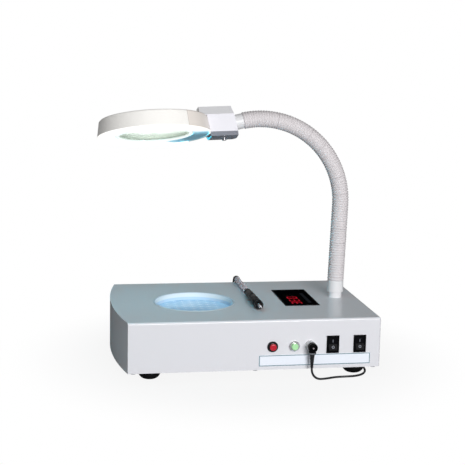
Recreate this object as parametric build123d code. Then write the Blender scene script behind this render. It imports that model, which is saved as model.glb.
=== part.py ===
from build123d import *
import os
from math import atan2, cos, degrees, pi, radians, sin, tan

# Colony counter: a flat lit base with a dish well, a counter display, a wired counting
# pen and a round magnifier lamp on a ribbed gooseneck.
# Millimetres. +X right, +Y back, +Z up. The origin is on the bench, under the middle of
# the rectangular part of the base.

# ---------------------------------------------------------------- driving dimensions
# base case
base_length = 300.0        # rectangular part, without the bowed left end
base_depth = 205.0
base_height = 60.0
half_length = base_length / 2
half_depth = base_depth / 2
bow_depth = 12.0           # how far the left end bows out
sheet = 1.2                # sheet steel of the cover and the base plate
bend_radius = 2.6          # outside radius of the folded edges
plate_gap = 0.3            # base plate to cover, all round
flange_width = 9.0         # cover's turned-in bottom flange
vent_count = 8
vent_pitch = 7.0
vent_width = 2.6
vent_height = 18.0
vent_inset = 110.0         # first back vent from the right end
vent_x = half_length - vent_inset
floor_slot_inset = 130.0
floor_slot_x = half_length - floor_slot_inset
floor_slot_y = 40.0
floor_slot_width = 3.0
floor_slot_length = 9.0
floor_slot_pitch_x = 8.0
floor_slot_pitch_y = 14.0

# feet
foot_height = 11.0
foot_radius = 13.0
foot_pad_radius = 6.8
foot_inset_x = 27.0        # foot centres from the ends of the rectangular part
foot_inset_y = 20.0

# dish well
well_inset = 90.0          # from the rectangular part's left end
well_x = well_inset - half_length
well_y = -4.0
well_bore = 48.0           # radius of the well that a dish goes into
well_wall = 2.5
well_depth = 9.0
well_lip = 0.4             # the rim stands this proud of the top
well_flange = 5.0          # width of the rim's flange under the sheet
plate_thick = 3.0          # glass counting plate
opal_thick = 2.0
seat_clearance = 0.2       # glass to the ring round it
pan_wall = 1.0

# display
window_inset = 80.0        # from the case's right end
window_x = half_length - window_inset
window_y = 6.0
window_width = 42.0
window_length = 84.0
frame_width = 1.2
digits_width = 19.0
digits_length = 50.0
digits_thick = 8.0
board_thick = 1.6
board_margin = 2.0         # display board to the window's edge
display_chip_length = 12.0
display_chip_width = 8.0
display_chip_thick = 3.0
display_chip_pitch = 24.0

# front controls, heights above the bench
control_z = 39.0
red_inset = 131.0          # from the case's right end, as are the others below
red_x = half_length - red_inset
button_pitch = 26.0
green_x = red_x + button_pitch
bezel_radius = 6.4
bezel_thick = 2.6
button_barrel = 4.9
button_radius = 4.0
button_proud = 3.2
button_travel = 2.5
button_body_length = 20.0
button_nut_radius = 8.0
button_nut_thick = 3.0
slide_clearance = 0.06     # radial, of a button in its barrel and of the plug's pin
socket_inset = 86.0
socket_x = half_length - socket_inset
socket_z = 40.2
socket_bush = 3.9
socket_nut_radius = 5.6
socket_nut_thick = 2.4
jack_radius = 1.75
jack_length = 14.0
switch_inset = 25.8
switch_pitch = 32.7
switch_x = (half_length - switch_inset - switch_pitch, half_length - switch_inset)
switch_width = 15.0
switch_height = 21.0
switch_flange = 2.0
switch_rim = 1.9
switch_body_depth = 16.0
rocker_swing = 22.0        # degrees from on to off
rocker_pivot_depth = 2.4   # pivot behind the flange's face
label_inset = 79.7
label_x = half_length - label_inset
label_z = 22.0
label_length = 134.5
label_height = 13.4
label_thick = 0.6

# back panel
inlet_inset = 55.0         # from the rectangular part's left end
inlet_x = inlet_inset - half_length
inlet_z = 41.0
inlet_width = 50.0
inlet_height = 30.0
inlet_flange = 2.5
inlet_ear = 7.0            # flange past the body at each side, for its screws
inlet_depth = 24.0
socket_width = 24.5
socket_height = 16.5
socket_depth = 15.5
fuse_width = 22.0
fuse_height = 5.6
inlet_screw_radius = 1.6
inlet_grip = 6.0           # how far an inlet screw reaches in

# inside the case
board_inset = 88.0
board_x = half_length - board_inset
board_y = -50.0
board_length = 120.0
board_width = 62.0
post_radius = 3.0
post_height = 6.0
post_inset = 5.0
driver_length = 26.0
driver_width = 12.0
driver_thick = 4.0
logic_length = 12.0
logic_width = 8.0
logic_thick = 3.0
capacitor_radius = 4.5
capacitor_height = 12.0
capacitor_pitch = 13.0
core_inset = 52.0
core_x = half_length - core_inset
core_y = 62.0
core_length = 48.0
core_width = 22.0
core_height = 40.0
core_ear = 9.0             # the core's fixing strap stands out this far at each end
core_strap = 1.5

# gooseneck
neck_inset = 27.7
neck_x = half_length - neck_inset
neck_y = 7.5
collar_radius = 8.4
collar_height = 6.6
sleeve_radius = 10.1
sleeve_height = 15.4
hose_radius = 10.3         # over the ribs
hose_valley = 9.3          # between the ribs
hose_bore = 6.6
rib_pitch = 3.1
rib_shoulder = 0.27        # share of the pitch that each flank of a rib takes
wire_bore = 4.5            # way for the lamp's wires through the collar
end_bore = 3.5
neck_nut_radius = 12.0
neck_nut_thick = 4.0
neck_lean = 1.5            # degrees that the straight part leans to the right
neck_straight = 96.0
neck_radius = 104.0
neck_turn = 104.0          # degrees of the arc after the straight part
bend_length = 16.0         # each stretch that flexes
bend_places = (26.0, 88.0, 154.0, 220.0)   # middles of those stretches, along the hose
end_sleeve_radius = 9.3
end_sleeve_length = 11.5
spigot_radius = 6.0
spigot_length = 15.0

# magnifier head, in its own frame: origin at the middle of the ring's lower edge
head_tilt = -15.8          # degrees about the head's own X, front edge up
head_roll = 2.3            # degrees, the bracket side up
head_reach = 97.9          # ring centre to the end sleeve, along the head's X
head_drop = 12.8           # ring's lower edge under the end sleeve's axis
ring_radius = 68.4         # at the lower edge
ring_draft = 3.0           # the wall leans in by this much at the top
ring_height = 20.0
ring_wall = 2.0
lens_radius = 45.0
lens_edge = 3.2
lens_crown = 3.4           # each face bulges by this
lens_wall = 2.2            # wall round the lens
lens_level = 3.9           # middle of the lens above the ring's lower edge
retainer_width = 2.4
retainer_thick = 2.0
lamp_tube_radius = 5.0
lamp_cover_thick = 1.8
bracket_half_depth = 19.0
bracket_low = -5.0
bracket_high = 32.3
bracket_top_chamfer = 11.6
bracket_low_chamfer = 4.4
bracket_wall = 2.5
bracket_corner = 6.0
clamp_screw_radius = 2.6

# counting pen
pen_inset = 138.0
pen_x = half_length - pen_inset
pen_front = -52.0          # Y of the grip's front face
pen_grip_length = 75.0
pen_barrel_length = 74.0
pen_cap_length = 10.0
grip_front_radius = 5.6
grip_rear_radius = 4.4
barrel_radius = 3.7
barrel_wall = 0.8
pen_cap_radius = 4.2
pen_nose_length = 8.0
pen_tip_radius = 0.9
pen_tip_proud = 3.0
grip_taper = 22.0          # the grip narrows over this length at its rear
nose_grip = 12.0           # the nose reaches this far into the grip
nose_bore = 2.4

# pen's lead and plug
lead_diameter = 2.6
plug_radius = 5.4
plug_length = 14.0
plug_gap = 0.4             # plug to the socket's nut
collar_ring_radius = 4.7
boot_top_radius = 2.9
boot_low_radius = 1.6
boot_length = 17.0
coil_radius = 15.0         # middle of the turns
coil_width = 10.8
coil_height = 5.2
coil_inset = 98.0
coil_x = half_length - coil_inset
coil_y = 131.0

# ---------------------------------------------------------------- derived places
underside = foot_height
top = underside + base_height
front = -half_depth
back = half_depth
lead_radius = lead_diameter / 2
inside_floor = underside + sheet

os.makedirs("parts", exist_ok=True)


def save(name, shape):
    shape.label = name
    export_step(shape, f"parts/{name}.step")


def group(*shapes):
    """Separate solids that share one node."""
    return Compound(children=[s for shape in shapes for s in shape.solids()])


def disc(radius, height, at=(0, 0, 0)):
    """A cylinder that stands on the given point."""
    stand = (Align.CENTER, Align.CENTER, Align.MIN)
    return Pos(*at) * Cylinder(radius, height, align=stand)


def pipe(outer, inner, height, at=(0, 0, 0)):
    return disc(outer, height, at) - disc(inner, height, at)


def along_y(radius, length, at):
    """A cylinder that starts at the given point and runs towards +Y."""
    stand = (Align.CENTER, Align.CENTER, Align.MIN)
    return Pos(*at) * Rot(X=-90) * Cylinder(radius, length, align=stand)


def block(x, y, z, at):
    """A box by its size and the middle of its lower face."""
    return Pos(*at) * Box(x, y, z, align=(Align.CENTER, Align.CENTER, Align.MIN))


def turned(points):
    """A solid of revolution about Z from (radius, height) points."""
    return revolve(Plane.XZ * make_face(Polyline(*points, close=True)), Axis.Z)


# ---------------------------------------------------------------- base case
def plan(inset):
    """The base seen from above, drawn in by the inset: three straight sides and a bow."""
    x1 = half_length - inset
    y0, y1 = -half_depth + inset, half_depth - inset
    bow_radius = (half_depth**2 + bow_depth**2) / (2 * bow_depth)
    centre_x = -half_length - bow_depth + bow_radius
    radius = bow_radius - inset
    corner_x = centre_x - (radius**2 - y1**2) ** 0.5
    outline = Polyline((corner_x, y0), (x1, y0), (x1, y1), (corner_x, y1))
    bow = ThreePointArc((corner_x, y1), (centre_x - radius, 0), (corner_x, y0))
    return make_face(outline + bow)


def shell_block(inset, low, high, radius):
    """The case as a block, with its three folded top edges and right corners rounded."""
    body = extrude(Pos(0, 0, low) * plan(inset), high - low)
    right = half_length - inset
    upright = [e for e in body.edges().filter_by(Axis.Z) if e.center().X > right - 0.1]
    body = fillet(upright, radius)
    rim = body.faces().sort_by(Axis.Z)[-1].edges()
    straight = [e for e in rim if e.center().X > -half_length + 1]
    return fillet(straight, radius)


def panel_cut(width, height, x, z, y):
    """A rectangular hole right through a front or back wall."""
    return Pos(x, y, z) * Box(width, 4 * bend_radius, height)


cover = shell_block(0, underside, top, bend_radius)
cover -= shell_block(sheet, underside - 1, top - sheet, bend_radius - sheet)
flange = extrude(Pos(0, 0, underside + sheet) * (plan(sheet) - plan(sheet + flange_width)), sheet)
cover += flange
well_outer = well_bore + well_wall
cover -= disc(well_outer + 0.1, base_height, (well_x, well_y, underside + base_height / 2))
cover -= Pos(window_x, window_y, top) * Box(window_width, window_length, 3 * sheet)
neck_stem = collar_radius - 1.4
cover -= disc(neck_stem + 0.1, 3 * sheet, (neck_x, neck_y, top - 2 * sheet))
for x in (red_x, green_x):
    cover -= along_y(button_barrel + 0.1, 3 * sheet, (x, front - sheet, control_z))
cover -= along_y(socket_bush + 0.1, 3 * sheet, (socket_x, front - sheet, socket_z))
body_width = switch_width - 2 * switch_rim
body_height = switch_height - 2 * switch_rim
for x in switch_x:
    cover -= panel_cut(body_width + 0.2, body_height + 0.2, x, control_z + 0.9, front)
inlet_cut = inlet_width - 2 * inlet_ear + 0.2
cover -= panel_cut(inlet_cut, inlet_height - 3 + 0.2, inlet_x, inlet_z, back)
for i in range(vent_count):
    at = (vent_x + vent_pitch * i, back, top - vent_height / 2 - 11)
    cover -= Pos(*at) * Box(vent_width, 4 * bend_radius, vent_height)

# The base plate closes the underside between the flanges; screws go up through it.
screw_x = half_length - sheet - flange_width / 2 - 1
screw_y = half_depth - sheet - flange_width / 2 - 0.5
screw_places = [(x, y) for x in (-screw_x, 0, screw_x) for y in (-screw_y, screw_y)]
screw_shank = 1.5
for x, y in screw_places:
    cover -= disc(screw_shank, 4 * sheet, (x, y, underside))

foot_x = half_length - foot_inset_x
foot_y = half_depth - foot_inset_y
foot_places = [(x, y) for x in (-foot_x, foot_x) for y in (-foot_y, foot_y)]
base_plate = extrude(Pos(0, 0, underside) * plan(sheet + plate_gap), sheet)
plate_corners = base_plate.edges().filter_by(Axis.Z).sort_by(Axis.X)[-2:]
base_plate = fillet(plate_corners, bend_radius - sheet)
for x, y in screw_places:
    base_plate -= disc(screw_shank + 0.2, sheet, (x, y, underside))
for x, y in foot_places:
    base_plate -= disc(2.1, sheet, (x, y, underside))
# pressed posts that carry the control board
post_places = [
    (board_x + i * (board_length / 2 - post_inset), board_y + j * (board_width / 2 - post_inset))
    for i in (-1, 1) for j in (-1, 1)
]
for x, y in post_places:
    base_plate += disc(post_radius, post_height, (x, y, inside_floor))
for row in range(3):
    for column in range(9):
        slot_x = floor_slot_x + floor_slot_pitch_x * column
        slot_y = floor_slot_y + floor_slot_pitch_y * row
        slot = Box(floor_slot_width, floor_slot_length, 2 * sheet)
        base_plate -= Pos(slot_x, slot_y, underside + sheet / 2) * slot
save("base_plate", base_plate)

pan_head = Pos(0, 0, -1.7) * (disc(3.0, 1.7) - Box(3.6, 0.8, 1.4))
screw = pan_head + disc(screw_shank, 4.0)
case_screws = [Pos(x, y, underside) * screw for x, y in screw_places]


def rubber_foot():
    """A domed foot with a flat pad and a hole for its screw."""
    side = Line((foot_radius, foot_height), (foot_radius, foot_height - 1.5))
    dome = ThreePointArc(
        (foot_radius, foot_height - 1.5),
        (foot_pad_radius + 0.80 * (foot_radius - foot_pad_radius), foot_height * 0.32),
        (foot_pad_radius, 0),
    )
    rest = Polyline((foot_pad_radius, 0), (0, 0), (0, foot_height), (foot_radius, foot_height))
    body = revolve(Plane.XZ * make_face(side + dome + rest), Axis.Z)
    return body - disc(2.0, foot_height) - disc(4.2, foot_height * 0.6)


foot = rubber_foot()
save("feet", group(*[Pos(x, y, 0) * foot for x, y in foot_places]))
foot_screw = disc(3.6, 2.2, (0, 0, foot_height * 0.6 - 2.2))
foot_screw += disc(1.9, foot_height * 0.4 + 2 * sheet + 1, (0, 0, foot_height * 0.6))
foot_nut = Pos(0, 0, foot_height + sheet) * extrude(RegularPolygon(3.6, 6), 2.2)
foot_screw += foot_nut
case_screws += [Pos(x, y, 0) * foot_screw for x, y in foot_places]

# ---------------------------------------------------------------- dish well and its light
plate_top = top - well_depth
plate_low = plate_top - plate_thick
opal_low = plate_low - opal_thick
glass_seat = well_outer - 1.1
well_ring = turned([
    (well_bore, top + well_lip - 0.4), (well_bore + 0.4, top + well_lip),
    (well_outer - 0.4, top + well_lip), (well_outer, top + well_lip - 0.4),
    (well_outer, top - sheet), (well_outer + well_flange, top - sheet),
    (well_outer + well_flange, top - 2 * sheet), (well_outer, top - 2 * sheet),
    (well_outer, opal_low), (glass_seat, opal_low),
    (glass_seat, plate_top), (well_bore, plate_top),
])
save("well_ring", Pos(well_x, well_y, 0) * well_ring)
glass_radius = glass_seat - seat_clearance
save("counting_plate", disc(glass_radius, plate_thick, (well_x, well_y, plate_low)))
save("opal_plate", disc(glass_radius, opal_thick, (well_x, well_y, opal_low)))
pan_top = opal_low
pan_foot = 30.0
pan_mouth = glass_radius + 2.0
light_pan = turned([
    (0, inside_floor), (pan_foot, inside_floor), (pan_mouth - 4, pan_top - pan_wall),
    (pan_mouth, pan_top - pan_wall), (pan_mouth, pan_top), (pan_mouth - 4.6, pan_top),
    (pan_foot - 0.6, inside_floor + pan_wall), (0, inside_floor + pan_wall),
])
save("light_pan", Pos(well_x, well_y, 0) * light_pan)
led_board_radius = 27.0
led_board = pipe(led_board_radius, 9.0, board_thick, (0, 0, inside_floor + pan_wall))
led_level = inside_floor + pan_wall + board_thick
led = disc(2.4, 1.6, (0, 0, led_level))
for radius, count in ((14.0, 6), (22.5, 12)):
    for i in range(count):
        led_board += Rot(Z=360 / count * i) * Pos(radius, 0, 0) * led
save("base_lamp", Pos(well_x, well_y, 0) * led_board)

# ---------------------------------------------------------------- display
outer_frame = Box(window_width + 2 * frame_width - 1, window_length + 2 * frame_width - 1, 0.5)
skirt = Box(window_width - 0.2, window_length - 0.2, sheet + 0.4)
inner_width = window_width - 2 * frame_width + 0.6
inner_length = window_length - 2 * frame_width + 0.6
display_frame = Pos(window_x, window_y, top + 0.25) * outer_frame
display_frame += Pos(window_x, window_y, top - (sheet + 0.4) / 2) * skirt
display_frame -= Pos(window_x, window_y, top) * Box(inner_width, inner_length, 8)
save("display_frame", display_frame)
window_ledge = top - sheet - 0.4
window = block(inner_width - 0.2, inner_length - 0.2, sheet + 0.5,
               (window_x, window_y, window_ledge))
window_low = window_ledge - 1.0
window += block(window_width + 3, window_length + 3, 1.0, (window_x, window_y, window_low))
save("display_window", window)
digits_top = window_low
digits_y = window_y - 8.0
digit_module = block(digits_width, digits_length, digits_thick,
                     (window_x - 1, digits_y, digits_top - digits_thick))
digit_module = chamfer(digit_module.faces().sort_by(Axis.Z)[-1].edges(), 0.5)
board_top = digits_top - digits_thick
display_board = block(window_width - 2 * board_margin, window_length - 2 * board_margin,
                      board_thick, (window_x, window_y, board_top - board_thick))
chip_low = board_top - board_thick - display_chip_thick
for i in (-1, 0, 1):
    chip_y = window_y + display_chip_pitch * i
    display_board += block(display_chip_width, display_chip_length, display_chip_thick,
                           (window_x, chip_y, chip_low))
save("display_board", display_board + digit_module)

# ---------------------------------------------------------------- inside the case
board_z = inside_floor + post_height
control_board = block(board_length, board_width, board_thick, (board_x, board_y, board_z))
for x, y in post_places:
    control_board -= disc(post_radius / 2, board_thick, (x, y, board_z))
chip_z = board_z + board_thick
driver_x = board_x - 0.15 * board_length
logic_x = board_x + 0.15 * board_length
control_board += block(driver_length, driver_width, driver_thick, (driver_x, board_y - 4, chip_z))
control_board += block(logic_length, logic_width, logic_thick, (logic_x, board_y - 8, chip_z))
capacitor_y = board_y + 0.29 * board_width
for i in range(3):
    capacitor_x = logic_x + capacitor_pitch * (i - 1)
    control_board += disc(capacitor_radius, capacitor_height, (capacitor_x, capacitor_y, chip_z))
save("control_board", control_board)
core = block(core_length, core_width, core_height, (core_x, core_y, inside_floor))
window_size = (core_length / 6, core_width + 2, core_height / 2)
for side in (-1, 1):
    window_middle = (core_x + side * core_length / 4, core_y, inside_floor + core_height / 2)
    core -= Pos(*window_middle) * Box(*window_size)
core += block(core_length + 2 * core_ear, core_width, core_strap, (core_x, core_y, inside_floor))
save("transformer_core", core)
limb = core_length / 3
coil_former = block(core_length * 0.66, core_width + 14, core_height / 2 - 0.4,
                    (core_x, core_y, inside_floor + core_height / 4 + 0.2))
coil_former = fillet(coil_former.edges().filter_by(Axis.Z), 5)
coil_former -= Pos(core_x, core_y, inside_floor + core_height / 2) * Box(
    limb + 0.2, core_width + 0.2, core_height)
save("transformer_winding", coil_former)

# ---------------------------------------------------------------- push buttons
def push_button(x):
    """Body, nut and moving cap of one push button, in from the front panel."""
    face = front - bezel_thick
    rim = along_y(bezel_radius, bezel_thick, (x, face, control_z))
    rim = chamfer(rim.faces().sort_by(Axis.Y)[0].edges(), 0.9)
    barrel = along_y(button_barrel, button_body_length, (x, front, control_z))
    bore = button_radius + slide_clearance
    depth = bezel_thick + button_body_length - 2.0
    body = rim + barrel - along_y(bore, depth, (x, face, control_z))
    nut = extrude(RegularPolygon(button_nut_radius, 6), button_nut_thick)
    nut -= disc(button_barrel + 0.05, button_nut_thick)
    nut = Pos(x, front + sheet, control_z) * Rot(X=-90) * nut
    cap_length = button_proud + depth - button_travel - 0.3
    cap = along_y(button_radius, cap_length, (x, face - button_proud, control_z))
    cap = fillet(cap.faces().sort_by(Axis.Y)[0].edges(), 1.2)
    return body, nut, cap


red_body, red_nut, red_cap = push_button(red_x)
green_body, green_nut, green_cap = push_button(green_x)
save("red_button_body", red_body)
save("red_button_cap", red_cap)
save("green_button_body", green_body)
save("green_button_cap", green_cap)
save("button_nuts", group(red_nut, green_nut))

# ---------------------------------------------------------------- pen socket and plug
bush_face = front - socket_nut_thick - 0.6
pen_socket = along_y(socket_bush, 12.0, (socket_x, bush_face, socket_z))
pen_socket += Pos(socket_x, front + sheet + 8.0, socket_z) * Box(12, 16, 12)
pin_bore = jack_radius + slide_clearance
pen_socket -= along_y(pin_bore, jack_length + 1.0, (socket_x, bush_face, socket_z))
save("pen_socket", pen_socket)
socket_nut = along_y(socket_nut_radius, socket_nut_thick, (socket_x, front - socket_nut_thick, socket_z))
socket_nut = chamfer(socket_nut.faces().sort_by(Axis.Y)[0].edges(), 0.6)
socket_nut -= along_y(socket_bush + 0.05, 10, (socket_x, front - 5, socket_z))
for i in range(12):
    notch = Rot(Y=30 * i) * Pos(0, 0, socket_nut_radius) * Box(0.7, 8, 0.7)
    socket_nut -= Pos(socket_x, front - socket_nut_thick, socket_z) * notch
save("socket_nut", socket_nut)

plug_back = bush_face - plug_gap
plug_front = plug_back - plug_length
plug_drop_y = plug_front + 6.0
plug = along_y(plug_radius, plug_length, (socket_x, plug_front, socket_z))
plug = fillet(plug.faces().sort_by(Axis.Y)[0].edges(), 1.6)
plug += along_y(jack_radius, plug_gap + jack_length, (socket_x, plug_back - 0.01, socket_z))
stem_low = socket_z - plug_radius - 1.0
plug += disc(collar_ring_radius - 0.5, plug_radius, (socket_x, plug_drop_y, stem_low))
collar_low = stem_low - 1.6
plug_collar = disc(collar_ring_radius, 1.6, (socket_x, plug_drop_y, collar_low))
plug += chamfer(plug_collar.edges().filter_by(GeomType.CIRCLE), 0.3)
save("pen_plug", plug)
boot_low = collar_low - boot_length
boot = turned([
    (0, boot_low), (boot_low_radius, boot_low), (boot_top_radius, collar_low - 2),
    (boot_top_radius + 0.6, collar_low), (0, collar_low),
])
for i in range(4):
    groove_z = boot_low + 2.2 + 3.2 * i
    boot -= pipe(6, boot_low_radius + 0.07 * (groove_z - boot_low) - 0.25, 0.8, (0, 0, groove_z))
save("plug_boot", Pos(socket_x, plug_drop_y, 0) * boot)

# ---------------------------------------------------------------- rocker switches
switch_z = control_z + 0.9
opening_width = switch_width - 2 * 2.2
opening_height = switch_height - 2 * 2.4


def rocker_switch(x):
    """Body and rocker of one switch; the rocker rests pressed at its top."""
    face = front - switch_flange
    rim = Pos(x, face + switch_flange / 2, switch_z) * Box(switch_width, switch_flange, switch_height)
    rim = chamfer(rim.faces().sort_by(Axis.Y)[0].edges(), 0.6)
    depth = switch_body_depth
    body = rim + Pos(x, front + depth / 2, switch_z) * Box(body_width, depth, body_height)
    pocket = 9.0
    body -= Pos(x, face + pocket / 2, switch_z) * Box(opening_width, pocket, opening_height)
    pivot = Pos(x, face + rocker_pivot_depth, switch_z)
    reach = opening_height / 2 - 0.25
    hinge = Rot(Y=90) * Cylinder(reach, opening_width - 0.5)
    slope = tan(radians(rocker_swing / 2))
    high = 1.3 + 2 * reach * slope
    wedge = Polyline(
        (-high, 2 * reach), (-1.3, 0), (-high, -2 * reach),
        (4.2, -2 * reach), (4.2, 2 * reach), close=True,
    )
    key = extrude(Plane.YZ * make_face(wedge), opening_width / 2, both=True)
    rocker = Rot(X=-rocker_swing / 2) * (hinge & key)
    return body, pivot * rocker


for name, x in zip(("power", "lamp"), switch_x):
    switch_body, rocker = rocker_switch(x)
    save(f"{name}_switch_body", switch_body)
    save(f"{name}_rocker", rocker)

label = Pos(label_x, front - label_thick / 2, label_z) * Box(label_length, label_thick, label_height)
save("label_plate", chamfer(label.faces().sort_by(Axis.Y)[0].edges(), 0.2))

# ---------------------------------------------------------------- mains inlet
inlet = Pos(inlet_x, back + inlet_flange / 2, inlet_z) * Box(inlet_width, inlet_flange, inlet_height)
inlet = chamfer(inlet.faces().sort_by(Axis.Y)[-1].edges(), 0.8)
inlet_body = Box(inlet_width - 2 * inlet_ear, inlet_depth, inlet_height - 3)
inlet += Pos(inlet_x, back - inlet_depth / 2, inlet_z) * inlet_body
cavity_z = inlet_z + 4.0
outline = Polyline(
    (-socket_width / 2, -socket_height / 2), (socket_width / 2, -socket_height / 2),
    (socket_width / 2, socket_height / 2 - 4.5), (socket_width / 2 - 4.5, socket_height / 2),
    (-socket_width / 2 + 4.5, socket_height / 2), (-socket_width / 2, socket_height / 2 - 4.5),
    close=True,
)
cavity = extrude(Plane.XZ * make_face(outline), socket_depth)
inlet -= Pos(inlet_x, back + inlet_flange, cavity_z) * cavity
fuse_z = inlet_z - inlet_height / 2 + 1.9 + fuse_height / 2
inlet -= Pos(inlet_x, back + inlet_flange - 10, fuse_z) * Box(fuse_width + 0.4, 20, fuse_height + 0.4)
pin_length = 11.0
pin_y = back + inlet_flange - socket_depth + pin_length / 2
for dx, dz in ((-7.0, -1.5), (0.0, 2.2), (7.0, -1.5)):
    inlet += Pos(inlet_x + dx, pin_y, cavity_z + dz) * Box(2.0, pin_length, 4.0)
inlet_screw_x = [inlet_x + side * (inlet_width / 2 - 4.5) for side in (-1, 1)]
for x in inlet_screw_x:
    inlet -= along_y(inlet_screw_radius + 0.1, inlet_flange + 2, (x, back - 1, inlet_z))
save("mains_inlet", inlet)
fuse_drawer = Pos(inlet_x, back + inlet_flange - 9 + 0.5, fuse_z) * Box(fuse_width, 18, fuse_height)
fuse_drawer += Pos(inlet_x, back + inlet_flange + 0.9, fuse_z) * Box(fuse_width - 6, 1.2, 2.0)
save("fuse_drawer", fuse_drawer)
inlet_screw = along_y(inlet_screw_radius, inlet_grip + inlet_flange, (0, back - inlet_grip, 0))
inlet_screw += along_y(2.9, 1.6, (0, back + inlet_flange, 0))
inlet_screw -= Pos(0, back + inlet_flange + 1.6, 0) * Box(4, 1.2, 0.8)
screws = [Pos(x, 0, inlet_z) * inlet_screw for x in inlet_screw_x]
for x in inlet_screw_x:
    cover -= along_y(inlet_screw_radius + 0.1, 2 * inlet_grip, (x, back - inlet_grip, inlet_z))
save("cover", cover)
save("case_screws", group(*case_screws, *screws))

# ---------------------------------------------------------------- gooseneck
hose_start_z = top + collar_height + sleeve_height
lean = radians(neck_lean)
turn = radians(neck_turn)
straight_end = (neck_x + neck_straight * sin(lean), hose_start_z + neck_straight * cos(lean))
arc_centre = (straight_end[0] - neck_radius * cos(lean), straight_end[1] + neck_radius * sin(lean))
hose_length = neck_straight + neck_radius * turn


def hose_place(distance):
    """Frame on the hose's centre line: local Z runs along the hose, local Y stays on Y."""
    if distance <= neck_straight:
        angle = lean if distance > 0 else 0.0
        x = neck_x + distance * sin(lean)
        z = hose_start_z + distance * cos(lean)
    else:
        angle = lean - (distance - neck_straight) / neck_radius
        x = arc_centre[0] + neck_radius * cos(angle)
        z = arc_centre[1] - neck_radius * sin(angle)
    return Location((x, neck_y, z), (0, degrees(angle), 0))


def hose_piece(start, end):
    """A tube of wide ribs and narrow grooves between two distances along the hose."""
    ribs = max(1, round((end - start) / rib_pitch))
    pitch = (end - start) / ribs
    stations = [(start, hose_valley)]
    for i in range(ribs):
        root = start + pitch * i
        stations.append((root + pitch * rib_shoulder, hose_radius))
        stations.append((root + pitch * (1 - rib_shoulder), hose_radius))
        stations.append((root + pitch, hose_valley))
    rings = [
        hose_place(place) * make_face(CenterArc((0, 0), radius, 0, 360))
        for place, radius in stations
    ]
    body = loft(rings, ruled=True)
    bore_rings = [
        hose_place(start + (end - start) * i / 8) * make_face(CenterArc((0, 0), hose_bore, 0, 360))
        for i in range(9)
    ]
    return body - loft(bore_rings, ruled=True)


bounds = [0.0]
for place in bend_places:
    bounds += [place - bend_length / 2, place + bend_length / 2]
bounds.append(hose_length)
spans = list(zip(bounds[:-1], bounds[1:]))
for i, (start, end) in enumerate(spans[0::2]):
    save(f"hose_{i + 1}", hose_piece(start, end))
for i, (start, end) in enumerate(spans[1::2]):
    save(f"hose_bend_{i + 1}", hose_piece(start, end))

stem_low_z = top - 14.0
neck_collar = disc(collar_radius, collar_height, (0, 0, top))
neck_collar = chamfer(neck_collar.edges().filter_by(GeomType.CIRCLE).sort_by(Axis.Z)[-1], 0.6)
neck_collar += disc(neck_stem, top - stem_low_z, (0, 0, stem_low_z))
neck_collar -= disc(wire_bore, top - stem_low_z + collar_height, (0, 0, stem_low_z))
save("neck_collar", Pos(neck_x, neck_y, 0) * neck_collar)
neck_nut = extrude(RegularPolygon(neck_nut_radius, 6), neck_nut_thick)
neck_nut -= disc(neck_stem + 0.05, neck_nut_thick)
save("neck_nut", Pos(neck_x, neck_y, top - sheet - neck_nut_thick) * neck_nut)
sleeve_z = top + collar_height
neck_sleeve = disc(sleeve_radius, sleeve_height)
neck_sleeve = chamfer(neck_sleeve.edges().filter_by(GeomType.CIRCLE), 0.7)
neck_sleeve -= disc(hose_bore, sleeve_height)
save("neck_sleeve", Pos(neck_x, neck_y, sleeve_z) * neck_sleeve)

neck_end = hose_place(hose_length)
end_sleeve = disc(end_sleeve_radius, end_sleeve_length)
end_sleeve = chamfer(end_sleeve.edges().filter_by(GeomType.CIRCLE), 0.6)
end_sleeve += disc(spigot_radius, spigot_length, (0, 0, end_sleeve_length))
end_sleeve -= disc(end_bore, end_sleeve_length + spigot_length)
save("neck_end_sleeve", neck_end * end_sleeve)

# ---------------------------------------------------------------- magnifier head
# The head's frame: X runs from the ring's middle to the bracket, Z is the lens axis.
sleeve_face = neck_end * Pos(0, 0, end_sleeve_length)
face_point = sleeve_face.position
head_turn = Rot(Y=-head_roll) * Rot(X=head_tilt)
ring_middle = Location(face_point) * Rot(Y=-head_roll) * Pos(-head_reach, 0, 0)
head = Location(ring_middle.position) * head_turn * Pos(0, 0, -head_drop)
swivel_axis = (neck_end * Pos(0, 0, 1)).position - neck_end.position
print("head origin", head.position, "swivel at", face_point, "along", swivel_axis)

ring_top_radius = ring_radius - ring_draft
lens_hole = lens_radius + 0.2
inner_wall = lens_hole + lens_wall
shoulder = lens_radius - 1.6
lens_seat_top = lens_level + lens_edge / 2
ring_profile = [
    (ring_radius - 0.5, 0), (ring_radius, 0.5), (ring_top_radius + 0.2, ring_height - 1.5),
    (ring_top_radius - 1.4, ring_height), (lens_hole + 0.8, ring_height),
    (shoulder, ring_height - 0.8), (shoulder, lens_seat_top), (lens_hole, lens_seat_top),
    (lens_hole, 1.2), (inner_wall, 1.2), (inner_wall, ring_height - ring_wall),
    (ring_top_radius - ring_wall, ring_height - ring_wall), (ring_radius - ring_wall, 0),
]
head_ring = turned(ring_profile)
lens_low = lens_level - lens_edge / 2
crown_radius = (lens_radius**2 + lens_crown**2) / (2 * lens_crown)
lens_outline = (
    Line((0, lens_low - lens_crown), (0, lens_seat_top + lens_crown))
    + ThreePointArc(
        (0, lens_seat_top + lens_crown),
        (lens_radius / 2, lens_seat_top + lens_crown - crown_radius
         + (crown_radius**2 - lens_radius**2 / 4) ** 0.5),
        (lens_radius, lens_seat_top))
    + Line((lens_radius, lens_seat_top), (lens_radius, lens_low))
    + ThreePointArc(
        (lens_radius, lens_low),
        (lens_radius / 2, lens_low - lens_crown + crown_radius
         - (crown_radius**2 - lens_radius**2 / 4) ** 0.5),
        (0, lens_low - lens_crown))
)
lens = revolve(Plane.XZ * make_face(lens_outline), Axis.Z)
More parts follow.
